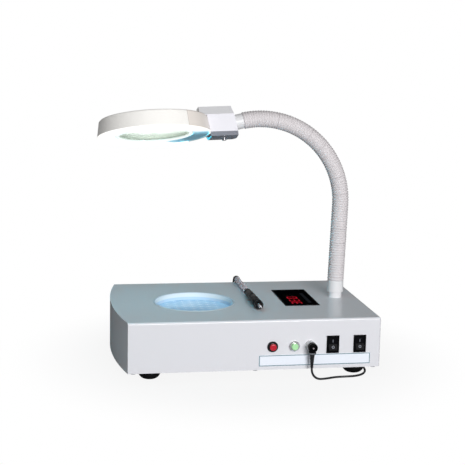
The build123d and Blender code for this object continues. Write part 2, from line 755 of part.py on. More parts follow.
retainer = pipe(lens_hole - 0.05, lens_radius - retainer_width, retainer_thick,
                (0, 0, lens_low - retainer_thick))
retainer -= lens
head_ring -= lens
save("lens", head * lens)
save("lens_retainer", head * retainer)

tube_level = ring_height - ring_wall - lamp_tube_radius - 2.0
tube_circle = (inner_wall + ring_radius - ring_wall) / 2
lamp_gap = 16.0
lamp_tube = revolve(
    Plane.XZ * (Pos(tube_circle, tube_level) * Circle(lamp_tube_radius)), Axis.Z, 360 - lamp_gap)
lamp_tube = Rot(Z=lamp_gap / 2) * lamp_tube
save("head_lamp", head * lamp_tube)
clip_low = tube_level + 0.4 * lamp_tube_radius
clip = block(6.0, 5.0, ring_height - ring_wall - clip_low, (tube_circle, 0, clip_low))
clip -= Rot(Z=180) * lamp_tube
for angle in (60, 180, 300):
    head_ring += Rot(Z=angle) * clip
cover_outer = ring_radius - ring_wall - 0.35
cover_inner = inner_wall + 0.15
lamp_cover = turned([
    (cover_inner, 0.6), (cover_outer, 0.6), (cover_outer - 0.35, 0.6 + lamp_cover_thick),
    (cover_inner, 0.6 + lamp_cover_thick),
])
save("lamp_cover", head * lamp_cover)

# bracket: a chamfered box whose right face stands square to the hose's end
section = [
    (-bracket_half_depth, bracket_low + bracket_low_chamfer),
    (-bracket_half_depth, bracket_high - bracket_top_chamfer),
    (-bracket_half_depth + bracket_top_chamfer, bracket_high),
    (bracket_half_depth - bracket_top_chamfer, bracket_high),
    (bracket_half_depth, bracket_high - bracket_top_chamfer),
    (bracket_half_depth, bracket_low + bracket_low_chamfer),
    (bracket_half_depth - bracket_low_chamfer, bracket_low),
    (-bracket_half_depth + bracket_low_chamfer, bracket_low),
]


def bracket_prism(inset, start, end):
    """The bracket's cross-section drawn in by the inset, from one head X to another."""
    outline = make_face(Polyline(*section, close=True))
    if inset:
        outline = offset(outline, -inset)
    return Pos(start, 0, 0) * extrude(Plane.YZ * outline, end - start)


bracket_start = ring_radius - 14.0
bracket_end = head_reach + 12.0
bracket_body = bracket_prism(0, bracket_start, bracket_end)
bracket_hollow = bracket_prism(bracket_wall, bracket_start - 1, head_reach - spigot_length - 3.0)
trim = sleeve_face * Pos(0, 0, -40) * Box(90, 90, 80)
bracket_world = head * bracket_body
bracket_world -= trim
corner_edges = [
    e for e in bracket_world.edges()
    if abs((e.center() - face_point).dot(swivel_axis)) < 0.6
]
corner_edges = sorted(corner_edges, key=lambda e: e.center().Z)[:1]
bracket_world = fillet(corner_edges, bracket_corner)
bracket_world -= head * bracket_hollow
ring_outside = turned([
    (0, -20), (ring_radius + 0.05, -20), (ring_radius + 0.05, 0.5),
    (ring_top_radius + 0.25, ring_height - 1.5), (ring_top_radius + 0.25, ring_height + 0.05),
    (0, ring_height + 0.05),
])
bracket_world -= head * ring_outside
bracket_world -= sleeve_face * disc(spigot_radius + slide_clearance, spigot_length + 0.5, (0, 0, -0.2))
screw_at = (head_reach - 12.0, 7.0)
bracket_world -= head * disc(1.6, 9.0, (*screw_at, bracket_low - 1))
save("bracket", bracket_world)
clamp_screw = disc(1.5, 7.5, (*screw_at, bracket_low - 0.2))
clamp_screw += disc(clamp_screw_radius, 2.2, (*screw_at, bracket_low - 2.2))
clamp_screw -= Pos(*screw_at, bracket_low - 2.2) * Box(4, 0.8, 1.6)
save("clamp_screw", head * clamp_screw)
save("head_ring", head * head_ring)

# ---------------------------------------------------------------- counting pen
pen_rear = pen_front + pen_grip_length + pen_barrel_length + pen_cap_length
pen_drop = grip_front_radius - pen_cap_radius
pen_span = pen_rear - 4.0 - pen_front
pen_tilt = degrees(atan2(pen_drop, pen_span))
pen = Pos(pen_x, pen_front, top + grip_front_radius) * Rot(X=-pen_tilt) * Rot(X=-90)
grip = turned([
    (0, 0), (grip_front_radius - 0.6, 0), (grip_front_radius, 0.8), (grip_front_radius - 0.1, 8),
    (grip_rear_radius + 0.5, pen_grip_length - grip_taper), (grip_rear_radius, pen_grip_length - 1),
    (grip_rear_radius - 0.4, pen_grip_length), (0, pen_grip_length),
])
grip -= disc(nose_bore, pen_grip_length)
grip -= disc(grip_front_radius - 1.7, 2.0)
for i in range(7):
    ring_z = 6.0 + 3.4 * i
    grip -= pipe(9, grip_front_radius - 0.55 - 0.015 * ring_z, 1.0, (0, 0, ring_z))
save("pen_grip", pen * grip)
nose_root = 2.0
nose = turned([
    (0, -pen_nose_length), (pen_tip_radius + 0.5, -pen_nose_length), (2.6, -2.0),
    (3.6, 0.6), (3.6, nose_root), (nose_bore - 0.05, nose_root),
    (nose_bore - 0.05, nose_grip), (0, nose_grip),
])
nose -= disc(pen_tip_radius + slide_clearance, pen_nose_length + 8, (0, 0, -pen_nose_length))
save("pen_nose", pen * nose)
tip = disc(pen_tip_radius, pen_tip_proud + nose_grip, (0, 0, -pen_nose_length - pen_tip_proud))
tip = fillet(tip.edges().sort_by(Axis.Z)[0], 0.6)
save("pen_tip", pen * tip)
barrel = pipe(barrel_radius, barrel_radius - barrel_wall, pen_barrel_length, (0, 0, pen_grip_length))
save("pen_barrel", pen * barrel)
rod = disc(1.5, pen_barrel_length, (0, 0, pen_grip_length))
rod += disc(barrel_radius - barrel_wall - 0.1, 3.0, (0, 0, pen_grip_length))
rod += disc(barrel_radius - barrel_wall - 0.1, 3.0, (0, 0, pen_grip_length + pen_barrel_length - 3))
cap_z = pen_grip_length + pen_barrel_length
pen_cap = disc(pen_cap_radius, pen_cap_length - 3, (0, 0, cap_z))
pen_cap = fillet(pen_cap.edges().sort_by(Axis.Z)[-1], 1.8)
pen_cap += turned([
    (0, cap_z + 3), (2.4, cap_z + 3), (2.0, cap_z + pen_cap_length - 1),
    (1.7, cap_z + pen_cap_length), (0, cap_z + pen_cap_length),
])
save("pen_cap", pen * (pen_cap + rod))

# ---------------------------------------------------------------- pen's lead
lead_exit = (pen * Pos(0, 0, cap_z + pen_cap_length)).position
lead_first = (pen * Pos(0, 0, cap_z + pen_cap_length + 9.0)).position
# Where the lead lies on the bench: X from the case's right end, and Y.
bench_points = (
    (-79.4, -114.4), (-68.5, -113.4), (-55.5, -108.2), (-42.5, -107.6), (-30.5, -106.8),
    (-20.5, -101.0), (-13.4, -90.0), (-10.2, -74.0), (-10.8, -48.0), (-18.0, -16.0),
    (-29.0, 16.0), (-44.0, 48.0), (-56.0, 82.0), (-67.0, 107.0),
)
front_route = [
    (socket_x, plug_drop_y, boot_low),
    (socket_x, plug_drop_y, 8.4),
    *[(half_length + x, y, lead_radius) for x, y in bench_points],
    (coil_x + coil_radius, coil_y - 2.0, lead_radius),
]
rear_route = [
    (coil_x - coil_radius, coil_y - 1.0, lead_radius),
    (pen_x + 21.0, 115.5, lead_radius),
    (pen_x + 8.0, 112.5, 8.0),
    (pen_x + 2.5, 116.5, 24.0),
    (pen_x - 0.6, 120.5, 44.0),
    (pen_x - 0.4, 123.0, 60.0),
    (pen_x, 121.5, 70.0),
    tuple(lead_first),
    tuple(lead_exit),
]


def corner_radii(points):
    """Each corner's arc: 0.45 of the shorter run, over the tangent of half the turn."""
    radii = []
    for a, b, c in zip(points[:-2], points[1:-1], points[2:]):
        one, two = Vector(*b) - Vector(*a), Vector(*c) - Vector(*b)
        half_turn = radians(one.get_angle(two)) / 2
        radii.append(0.45 * min(one.length, two.length) / tan(half_turn))
    return radii


def lead_tube(points):
    """The round lead along straight runs joined by tangent arcs."""
    radii = corner_radii(points)
    print("lead radii", [round(r, 1) for r in radii])
    path = FilletPolyline(*points, radius=radii)
    start = Plane(origin=path @ 0, z_dir=path % 0)
    tube = sweep(start * Circle(lead_radius), path)
    share = tube.volume / (pi * lead_radius**2 * path.length)
    print("lead run", round(path.length, 1), "volume share", round(share, 4))
    return tube


save("lead_front", lead_tube(front_route))
save("lead_rear", lead_tube(rear_route))
coil_outer = coil_radius + coil_width / 2
coil_inner = coil_radius - coil_width / 2
coil = pipe(coil_outer, coil_inner, coil_height, (coil_x, coil_y, 0))
coil = fillet(coil.edges().filter_by(GeomType.CIRCLE), lead_radius)
save("lead_coil", coil)
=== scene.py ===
from math import cos, pi, radians, sin

import bpy
from mathutils import Matrix, Vector


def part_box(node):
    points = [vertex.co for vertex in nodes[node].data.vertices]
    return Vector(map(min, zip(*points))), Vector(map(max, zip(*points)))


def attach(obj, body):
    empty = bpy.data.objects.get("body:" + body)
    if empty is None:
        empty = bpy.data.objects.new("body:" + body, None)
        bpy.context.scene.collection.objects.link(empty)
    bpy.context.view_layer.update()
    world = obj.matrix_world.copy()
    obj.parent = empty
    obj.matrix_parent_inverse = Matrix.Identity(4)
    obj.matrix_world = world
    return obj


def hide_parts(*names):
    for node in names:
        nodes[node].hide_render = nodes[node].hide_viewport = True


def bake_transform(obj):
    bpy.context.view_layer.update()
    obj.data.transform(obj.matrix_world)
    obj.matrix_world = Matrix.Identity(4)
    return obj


# Looks of the colony counter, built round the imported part. Metres, in the part's own frame:
# +X right, +Y back, +Z up, origin on the bench under the middle of the base.

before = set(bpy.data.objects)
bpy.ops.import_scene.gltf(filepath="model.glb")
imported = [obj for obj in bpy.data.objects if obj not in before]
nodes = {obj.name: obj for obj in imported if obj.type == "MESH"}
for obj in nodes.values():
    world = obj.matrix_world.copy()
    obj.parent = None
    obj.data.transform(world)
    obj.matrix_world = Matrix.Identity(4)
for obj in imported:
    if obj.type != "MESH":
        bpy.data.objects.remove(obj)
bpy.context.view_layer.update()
MM = 0.001


# ------------------------------------------------------------------ places on the CAD part
def corner(node, which):
    """Lowest (0) or highest (1) corner of a CAD node."""
    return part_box(node)[which]


def middle(node):
    """The middle of a CAD node's box."""
    low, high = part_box(node)
    return (low + high) / 2


DIGITS_MIDDLE = Vector((68.0, -0.4, 0.0)) * MM


# ------------------------------------------------------------------ mesh helpers
def new_object(name, mesh):
    obj = bpy.data.objects.new(name, mesh)
    bpy.context.scene.collection.objects.link(obj)
    return obj


def mesh_object(name, points, faces, smooth=True):
    mesh = bpy.data.meshes.new(name)
    mesh.from_pydata([tuple(p) for p in points], [], faces)
    mesh.update()
    for polygon in mesh.polygons:
        polygon.use_smooth = smooth
    return new_object(name, mesh)


def ring_faces(count, sides, closed=False):
    """Quads between successive rings of points; closed joins the last ring to the first."""
    faces = []
    for i in range(count if closed else count - 1):
        a, b = i * sides, ((i + 1) % count) * sides
        for j in range(sides):
            k = (j + 1) % sides
            faces.append((a + j, a + k, b + k, b + j))
    return faces


def tube(name, line, radius, sides=12):
    """A round tube along a line of points, with closed ends."""
    line = [Vector(p) for p in line]
    points = []
    side = Vector((1, 0, 0))
    for i, point in enumerate(line):
        ahead = (line[min(i + 1, len(line) - 1)] - line[max(i - 1, 0)]).normalized()
        side = (side - ahead * side.dot(ahead)).normalized()
        other = ahead.cross(side)
        for j in range(sides):
            angle = 2 * pi * j / sides
            points.append(point + (side * cos(angle) + other * sin(angle)) * radius)
    faces = ring_faces(len(line), sides)
    faces.append(tuple(reversed(range(sides))))
    last = (len(line) - 1) * sides
    faces.append(tuple(range(last, last + sides)))
    return mesh_object(name, points, faces)


# ------------------------------------------------------------------ material helpers
def srgb(red, green, blue):
    """A colour as seen on a screen, 0 to 255, as the linear one that shaders take."""
    values = [c / 255 for c in (red, green, blue)]
    return tuple(v / 12.92 if v <= 0.04045 else ((v + 0.055) / 1.055) ** 2.4 for v in values)


def material(name):
    """An empty node material: returns it with its tree's nodes, links and Principled shader."""
    made = bpy.data.materials.new(name)
    made.use_nodes = True
    tree = made.node_tree
    return made, tree.nodes, tree.links, tree.nodes["Principled BSDF"]


def noise(tree_nodes, links, scale, detail=2.0, stretch=(1, 1, 1)):
    """Noise over the object's own coordinates; scale is in cycles per metre."""
    place = tree_nodes.new("ShaderNodeTexCoord")
    mapping = tree_nodes.new("ShaderNodeMapping")
    mapping.inputs["Scale"].default_value = stretch
    texture = tree_nodes.new("ShaderNodeTexNoise")
    texture.inputs["Scale"].default_value = scale
    texture.inputs["Detail"].default_value = detail
    links.new(place.outputs["Object"], mapping.inputs["Vector"])
    links.new(mapping.outputs["Vector"], texture.inputs["Vector"])
    return texture


def ramp(tree_nodes, links, source, stops):
    """A colour ramp fed by a value: stops are (position, colour)."""
    made = tree_nodes.new("ShaderNodeValToRGB")
    elements = made.color_ramp.elements
    elements[0].position, elements[0].color = stops[0][0], (*stops[0][1], 1)
    elements[1].position, elements[1].color = stops[-1][0], (*stops[-1][1], 1)
    for position, colour in stops[1:-1]:
        elements.new(position).color = (*colour, 1)
    links.new(source, made.inputs["Fac"])
    return made


def calc(tree_nodes, links, operation, *values):
    """A math node; each value is a socket or a number. Returns its output."""
    made = tree_nodes.new("ShaderNodeMath")
    made.operation = operation
    for i, value in enumerate(values):
        if isinstance(value, (int, float)):
            made.inputs[i].default_value = value
        else:
            links.new(value, made.inputs[i])
    return made.outputs[0]


def offset_from(tree_nodes, links, centre):
    """The shaded point less a centre, in the object's own coordinates."""
    place = tree_nodes.new("ShaderNodeTexCoord")
    made = tree_nodes.new("ShaderNodeVectorMath")
    made.operation = "SUBTRACT"
    links.new(place.outputs["Object"], made.inputs[0])
    made.inputs[1].default_value = tuple(centre)
    return made.outputs["Vector"]


def along(tree_nodes, links, vector, direction):
    """How far a vector reaches along a fixed direction."""
    made = tree_nodes.new("ShaderNodeVectorMath")
    made.operation = "DOT_PRODUCT"
    links.new(vector, made.inputs[0])
    made.inputs[1].default_value = tuple(direction)
    return made.outputs["Value"]


def length_of(tree_nodes, links, vector):
    """How long a vector is."""
    made = tree_nodes.new("ShaderNodeVectorMath")
    made.operation = "LENGTH"
    links.new(vector, made.inputs[0])
    return made.outputs["Value"]


def split_of(tree_nodes, links, vector):
    """A vector's X, Y and Z outputs."""
    made = tree_nodes.new("ShaderNodeSeparateXYZ")
    links.new(vector, made.inputs["Vector"])
    return made.outputs


def mapped(tree_nodes, links, value, start, end, low=0.0, high=1.0, smooth=True):
    """Turns a value's range from start to end into one from low to high, and holds it there."""
    made = tree_nodes.new("ShaderNodeMapRange")
    made.interpolation_type = "SMOOTHSTEP" if smooth else "LINEAR"
    made.inputs["From Min"].default_value = start
    made.inputs["From Max"].default_value = end
    made.inputs["To Min"].default_value = low
    made.inputs["To Max"].default_value = high
    links.new(value, made.inputs["Value"])
    return made.outputs["Result"]


def mixed_colour(tree_nodes, links, factor, one, two):
    """One colour where the factor is 0 and the other where it is 1; each a socket or a colour."""
    made = tree_nodes.new("ShaderNodeMix")
    made.data_type = "RGBA"
    links.new(factor, made.inputs["Factor"])
    for name, value in (("A", one), ("B", two)):
        if isinstance(value, tuple):
            made.inputs[name].default_value = (*value, 1)
        else:
            links.new(value, made.inputs[name])
    return made.outputs["Result"]


def feed_of(links, socket):
    """The output that already feeds a socket."""
    return next(link.from_socket for link in links if link.to_socket == socket)


def retint(made, factor, tint):
    """Blends a finish's colour towards another where the factor is 1."""
    links = made.node_tree.links
    base = made.node_tree.nodes["Principled BSDF"].inputs["Base Color"]
    colour = mixed_colour(made.node_tree.nodes, links, factor, feed_of(links, base), tint)
    links.new(colour, base)


def shade(colour, amount):
    """A colour made lighter or darker by a factor."""
    return tuple(min(1.0, c * amount) for c in colour)


def bump(tree_nodes, links, shader, source, distance):
    """Fine relief in the surface's shading, a given distance deep."""
    made = tree_nodes.new("ShaderNodeBump")
    made.inputs["Distance"].default_value = distance
    links.new(source, made.inputs["Height"])
    links.new(made.outputs["Normal"], shader.inputs["Normal"])


def finish_of(name, colour, roughness, mottle=0.04, mottle_scale=30.0, grain_scale=900.0,
              grain=0.02 * MM, specular=0.5, metallic=0.0, worn=0.06):
    """A moulded or painted finish: slow colour drift, uneven gloss and a fine surface grain."""
    made, tree_nodes, links, shader = material(name)
    drift = noise(tree_nodes, links, mottle_scale, 3.0)
    tint = ramp(tree_nodes, links, drift.outputs["Fac"],
                [(0.3, shade(colour, 1 - mottle)), (0.7, shade(colour, 1 + mottle))])
    links.new(tint.outputs["Color"], shader.inputs["Base Color"])
    gloss = noise(tree_nodes, links, mottle_scale * 4, 2.0)
    low, high = max(0.02, roughness - worn), min(1.0, roughness + worn)
    uneven = ramp(tree_nodes, links, gloss.outputs["Fac"], [(0.3, (low,) * 3), (0.7, (high,) * 3)])
    links.new(uneven.outputs["Color"], shader.inputs["Roughness"])
    fine = noise(tree_nodes, links, grain_scale, 2.0)
    bump(tree_nodes, links, shader, fine.outputs["Fac"], grain)
    shader.inputs["Specular IOR Level"].default_value = specular
    shader.inputs["Metallic"].default_value = metallic
    return made


def clear(name, colour, roughness, ior=1.5, smudge=0.03, clarity=1.0):
    """Clear glass or plastic with faint smudges in its gloss."""
    made, tree_nodes, links, shader = material(name)
    marks = noise(tree_nodes, links, 60.0, 4.0)
    gloss = ramp(tree_nodes, links, marks.outputs["Fac"],
                 [(0.35, (roughness,) * 3), (0.75, (roughness + smudge,) * 3)])
    links.new(gloss.outputs["Color"], shader.inputs["Roughness"])
    tint = ramp(tree_nodes, links, marks.outputs["Fac"], [(0.3, colour), (0.8, shade(colour, 0.97))])
    links.new(tint.outputs["Color"], shader.inputs["Base Color"])
    shader.inputs["Transmission Weight"].default_value = clarity
    shader.inputs["IOR"].default_value = ior
    return made


def glowing(name, colour, light, strength, roughness=0.35, mottle=0.03):
    """A lit diffuser: pale body colour that gives off an almost even light."""
    made, tree_nodes, links, shader = material(name)
    drift = noise(tree_nodes, links, 25.0, 2.0)
    body = ramp(tree_nodes, links, drift.outputs["Fac"],
                [(0.3, shade(colour, 1 - mottle)), (0.7, colour)])
    links.new(body.outputs["Color"], shader.inputs["Base Color"])
    glow = ramp(tree_nodes, links, drift.outputs["Fac"],
                [(0.3, shade(light, 1 - mottle)), (0.7, light)])
    links.new(glow.outputs["Color"], shader.inputs["Emission Color"])
    shader.inputs["Emission Strength"].default_value = strength
    shader.inputs["Roughness"].default_value = roughness
    return made


# ------------------------------------------------------------------ camera, light and stage
CAMERA_PLACE = Vector((-0.2609, -1.3722, 0.4042))
CAMERA_AZIMUTH = -0.17879
CAMERA_ELEVATION = 0.17592
CAMERA_ROLL = 0.02124
FOCAL_PIXELS = 1150.0
FRAME_PIXELS = 465.0
SENSOR = 36.0
GLOSSY_ROOM = 0.28        # how bright the room is in mirrors, where the camera sees 1
ROOM_LIGHT = 0.13         # and as light on the part
FLOOR_HALF = 2.5
FLOOR_COLOUR = (0.45, 0.46, 0.47, 1)
FLOOR_WHITE = 0.90        # how much of the floor's colour is plain white near the part
FLOOR_SHADOW = 0.14       # from here outwards the floor turns white,
FLOOR_FADE = 0.30         # and here it has


def make_camera():
    """The photo's camera, found from the edges of the base."""
    data = bpy.data.cameras.new("camera")
    data.sensor_width = SENSOR
    data.lens = SENSOR * FOCAL_PIXELS / FRAME_PIXELS
    data.clip_end = 50.0
    camera = new_object("camera", data)
    a, e, r = CAMERA_AZIMUTH, CAMERA_ELEVATION, CAMERA_ROLL
    back = Vector((sin(a) * cos(e), -cos(a) * cos(e), sin(e)))
    level = Vector((cos(a), sin(a), 0))
    upright = back.cross(level)
    right = level * cos(r) + upright * sin(r)
    up = upright * cos(r) - level * sin(r)
    turn = Matrix((right, up, back)).transposed()
    camera.matrix_world = Matrix.Translation(CAMERA_PLACE) @ turn.to_4x4()
    bpy.context.scene.camera = camera


def make_lamp(name, place, target, width, height, power):
    """A soft white lamp, turned towards a target."""
    data = bpy.data.lights.new(name, "AREA")
    data.shape = "RECTANGLE"
    data.size = width
    data.size_y = height
    data.energy = power
    lamp = new_object(name, data)
    lamp.location = place
    lamp.rotation_mode = "QUATERNION"
    lamp.rotation_quaternion = (Vector(target) - Vector(place)).to_track_quat("-Z", "Y")


def make_world():
    """A dim room that shows white to the camera, and bright in glass and metal."""
    world = bpy.data.worlds.new("room")
    world.use_nodes = True
    bpy.context.scene.world = world
    tree_nodes, links = world.node_tree.nodes, world.node_tree.links
    background = tree_nodes["Background"]
    background.inputs["Color"].default_value = (1, 1, 1, 1)
    rays = tree_nodes.new("ShaderNodeLightPath")
    seen = calc(tree_nodes, links, "MAXIMUM", rays.outputs["Is Camera Ray"],
                rays.outputs["Is Transmission Ray"])
    mirrored = calc(tree_nodes, links, "MULTIPLY", rays.outputs["Is Glossy Ray"], GLOSSY_ROOM)
    either = calc(tree_nodes, links, "MAXIMUM", seen, mirrored)
    strength = calc(tree_nodes, links, "MAXIMUM", either, ROOM_LIGHT)
    links.new(strength, background.inputs["Strength"])


def floor_pale():
    """A pale floor that the camera sees fade into white; it keeps some shadow near the part."""
    made, tree_nodes, links, shader = material("floor_pale")
    shader.inputs["Base Color"].default_value = FLOOR_COLOUR
    shader.inputs["Roughness"].default_value = 0.9
    shader.inputs["Specular IOR Level"].default_value = 0.0
    rays = tree_nodes.new("ShaderNodeLightPath")
    seen = calc(tree_nodes, links, "MAXIMUM", rays.outputs["Is Camera Ray"],
                rays.outputs["Is Transmission Ray"])
    away = length_of(tree_nodes, links, offset_from(tree_nodes, links, (0.0, 0.0, 0.0)))
    spread = mapped(tree_nodes, links, away, FLOOR_SHADOW, FLOOR_FADE, low=FLOOR_WHITE)
    shown = calc(tree_nodes, links, "MULTIPLY", seen, spread)
    white = tree_nodes.new("ShaderNodeEmission")
    white.inputs["Strength"].default_value = 1.0
    mixed = tree_nodes.new("ShaderNodeMixShader")
    links.new(shown, mixed.inputs["Fac"])
    links.new(shader.outputs[0], mixed.inputs[1])
    links.new(white.outputs[0], mixed.inputs[2])
    links.new(mixed.outputs[0], tree_nodes["Material Output"].inputs["Surface"])
    return made


def make_floor():
    """The floor that takes the part's soft shadow."""
    half = FLOOR_HALF
    points = [(-half, -half, 0), (half, -half, 0), (half, half, 0), (-half, half, 0)]
    floor = mesh_object("floor", points, [(0, 1, 2, 3)])
    floor.data.materials.append(floor_pale())


bpy.context.scene.view_settings.view_transform = "Standard"
make_camera()
make_world()
make_floor()
make_lamp("key", place=(0.35, -2.2, 0.60), target=(0.0, 0.0, 0.12), width=0.9, height=0.7, power=39.0)
make_lamp("fill", place=(-0.7, -2.0, 1.7), target=(0.0, 0.0, 0.15), width=1.2, height=0.9, power=5.0)
make_lamp("back", place=(-0.6, 2.3, 1.6), target=(0.0, 0.0, 0.10), width=1.2, height=0.8, power=3.0)


# ------------------------------------------------------------------ pen's lead
LEAD_RADIUS = 1.3 * MM
ON_BENCH = LEAD_RADIUS / MM   # height of the line where the lead lies on the bench, in mm
PLUG = middle("plug_boot")
BOOT_END = corner("plug_boot", 0).z
COIL = middle("lead_coil")
COIL_COLUMNS = (18.9 * MM, 16.3 * MM, 13.7 * MM, 11.1 * MM)
COIL_LAYERS = (LEAD_RADIUS, 3 * LEAD_RADIUS)
COIL_POINTS = 16              # of the cord's line in each turn
COIL_START = radians(-20.0)
PEN_STRAIGHT = Vector((0, 9.0 * MM, -0.08 * MM))      # the lead's straight run out of the pen

# Points that the lead's curve is drawn towards, in mm.
FRONT_ROUTE = [
    (PLUG.x / MM, PLUG.y / MM, BOOT_END / MM),
    (PLUG.x / MM, PLUG.y / MM, 8.4),
    (70.6, -114.4, ON_BENCH),
    (81.5, -113.4, ON_BENCH),
    (94.5, -108.2, ON_BENCH),
    (107.5, -107.6, ON_BENCH),
    (119.5, -106.8, ON_BENCH),
    (129.5, -101.0, ON_BENCH),
    (136.6, -90.0, ON_BENCH),
    (139.8, -74.0, ON_BENCH),
    (139.2, -48.0, ON_BENCH),
    (132.0, -16.0, ON_BENCH),
    (121.0, 16.0, ON_BENCH),
    (106.0, 48.0, ON_BENCH),
    (94.0, 82.0, ON_BENCH),
    (83.0, 107.0, ON_BENCH),
]
REAR_ROUTE = [
    (33.0, 115.5, ON_BENCH),
    (20.0, 112.5, 8.0),
    (14.5, 116.5, 24.0),
    (11.4, 120.5, 44.0),
    (11.6, 123.0, 60.0),
    (12.0, 121.5, 70.0),
]


def coil_route():
    """Turns that wind inwards on the bench and outwards again on top of themselves."""
    columns = [(radius, COIL_LAYERS[0]) for radius in COIL_COLUMNS]
    columns += [(radius, COIL_LAYERS[1]) for radius in reversed(COIL_COLUMNS)]
    points = []
    total = int((len(columns) + 0.5) * COIL_POINTS)
    for i in range(total):
        turns = i / COIL_POINTS
        at = min(turns, len(columns) - 1)
        index = min(int(at), len(columns) - 2)
        share = at - index
        radius = columns[index][0] + (columns[index + 1][0] - columns[index][0]) * share
        level = columns[index][1] + (columns[index + 1][1] - columns[index][1]) * share
        angle = COIL_START + 2 * pi * turns
        points.append((COIL.x + radius * cos(angle), COIL.y + radius * sin(angle), level))
    return points


def lead_line():
    """Points along the lead's smooth curve, from the plug's boot to the pen's cap."""
    height = corner("lead_rear", 1).z - LEAD_RADIUS
    pen_exit = Vector((middle("pen_cap").x, corner("pen_cap", 1).y, height))
    route = [Vector(p) * MM for p in FRONT_ROUTE] + [Vector(p) for p in coil_route()]
    route += [Vector(p) * MM for p in REAR_ROUTE] + [pen_exit + PEN_STRAIGHT, pen_exit]
    curve = bpy.data.curves.new("lead_line", "CURVE")
    curve.dimensions = "3D"
    curve.resolution_u = 6
    spline = curve.splines.new("NURBS")
    spline.points.add(len(route) - 1)
    for point, place in zip(spline.points, route):
        point.co = (*place, 1)
    spline.order_u = 3
    spline.use_endpoint_u = True
    guide = new_object("lead_guide", curve)
    mesh = bpy.data.meshes.new_from_object(guide)
    line = [v.co.copy() for v in mesh.vertices]
    bpy.data.objects.remove(guide)
    return line


def make_lead():
    """The pen's lead: out of its plug, under the base, round its coil and up to the pen's cap."""
    line = lead_line()
    lead = tube("lead", line, LEAD_RADIUS, 10)
    lead.data.materials.append(lead_black)
    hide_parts("lead_front", "lead_coil", "lead_rear")
    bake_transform(lead)


lead_black = finish_of("lead_rubber", colour=(0.012, 0.012, 0.014), roughness=0.30, mottle=0.15,
                       mottle_scale=90.0, grain_scale=1600.0, grain=0.004 * MM, specular=0.5)
make_lead()


# ------------------------------------------------------------------ finishes of the CAD nodes
GRID_SPACING = 10.0 * MM
GRID_LINE = 1.0 * MM
GRID_INK = 0.65
GRID_DASHES = (("X", "Y", 0.34), ("Y", "X", 0.62))   # lines' place, their direction, share drawn
TUBE_GAP = tuple(middle("bracket") + Vector((-0.020, 0.019, -0.020)))    # the round lamp's ends
GAP_REACH = 26.0 * MM        # the ring's lower rim has a teal-grey painted shade, and no painted light, up to here from them
COVER_GLOW = [(0.030, srgb(88, 122, 136)), (0.046, srgb(124, 176, 194)), (0.058, (0.96, 1.0, 1.0))]
COVER_CLOUD = 0.024          # how far noise shifts the cover's glow
LAMP_COLOUR = (0.05, 0.78, 1.0)
LAMP_SEEN = 0.95             # the diffuser as the camera sees it
LAMP_POWER = 5.0             # and as it lights the base
LAMP_WHITE = (1.0, 0.98, 0.94)
SMOKE = srgb(52, 28, 36)
WINDOW_CLEAR = (11.0 * MM, 26.0 * MM)        # half sizes of the see-through part
STRIP_MIDDLE = (14.8 * MM, 3.2 * MM)         # a dim strip in the window, from the digits
STRIP_HALF = (2.2 * MM, 26.0 * MM)
PLUG_COLLAR = 1.7 * MM       # how much of the plug's lower end is its pale collar
PLUG_BLACK = 7.6 * MM        # and how long its black front part is
END_HIGHLIGHT = 0.9 * MM          # radius of the painted highlight, a pale dot, in the middle of the plug's front end
WELL_BLUE = 3.6 * MM         # the band of the well's wall, over the plate, painted with the blue light of the lit plate
WELL_SOFT = 0.6 * MM         # half the height of its soft edge
WELL_LIP = 0.45 * MM         # the darker line round the well's rim
HEAD_TILT = radians(-15.8)
HEAD_ROLL = radians(2.3)
SEAM_ANGLE = radians(-59.0)
SEAM_WIDTH = 0.6 * MM
RING_INSIDE = 47.0 * MM      # radius that holds the ring's inside wall

# Heights from the middle of the lens, along its axis.
BRACKET_UNDER = -4.3 * MM    # below this the bracket has painted shade
BRACKET_TOP = 16.8 * MM      # above this it has a painted highlight
INSIDE_DIM = 6.0 * MM        # the painted light on the ring's inside wall is dimmest here
INSIDE_LIT = 14.0 * MM       # and brightest from here up
SEAT_UNDER = -2.0 * MM       # below this the ring is darker inside
RIM_LIT = -3.2 * MM          # below this the ring's rim gives off painted light

RING_LIT = 0.8               # strength of the painted light on the inside wall and the rim
RING_GLOW = 0.08             # a faint painted glow over the rest of the ring's white plastic
# colour of the painted light low on the ring's inside wall
SEAT_GREEN = (0.12, 0.165, 0.13)
GLARE = 0.7
GLARE_FULL = -34.0 * MM      # the lens's painted glare, counted backwards from its middle
GLARE_NONE = -4.0 * MM


def ruled_plate():
    """Lit glass plate with rows of short pale dashes for the grid that is ruled on it."""
    made, tree_nodes, links, shader = material("counting_glass")
    place = split_of(tree_nodes, links, offset_from(tree_nodes, links, middle("counting_plate")))
    lines = []
    for axis, other, dash in GRID_DASHES:
        to_line = calc(tree_nodes, links, "PINGPONG", place[axis], GRID_SPACING / 2)
        line = calc(tree_nodes, links, "LESS_THAN", to_line, GRID_LINE / 2)
        to_dash = calc(tree_nodes, links, "PINGPONG", place[other], GRID_SPACING / 2)
        drawn = calc(tree_nodes, links, "LESS_THAN", to_dash, GRID_SPACING / 2 * dash)
        lines.append(calc(tree_nodes, links, "MULTIPLY", line, drawn))
    either = calc(tree_nodes, links, "MAXIMUM", *lines)
    ink = calc(tree_nodes, links, "MULTIPLY", either, GRID_INK)
    cloud = noise(tree_nodes, links, 55.0, 3.0)
    plain = ramp(tree_nodes, links, cloud.outputs["Fac"],
                 [(0.3, srgb(150, 188, 222)), (0.7, srgb(170, 205, 232))])
    colour = mixed_colour(tree_nodes, links, ink, plain.outputs["Color"], srgb(224, 240, 250))
    links.new(colour, shader.inputs["Base Color"])
    links.new(colour, shader.inputs["Emission Color"])
    # Painted light: the plate glows with the light of the lamp under it.
    shader.inputs["Emission Strength"].default_value = 0.22
    shader.inputs["Roughness"].default_value = 0.12
    shader.inputs["Specular IOR Level"].default_value = 0.25
    return made


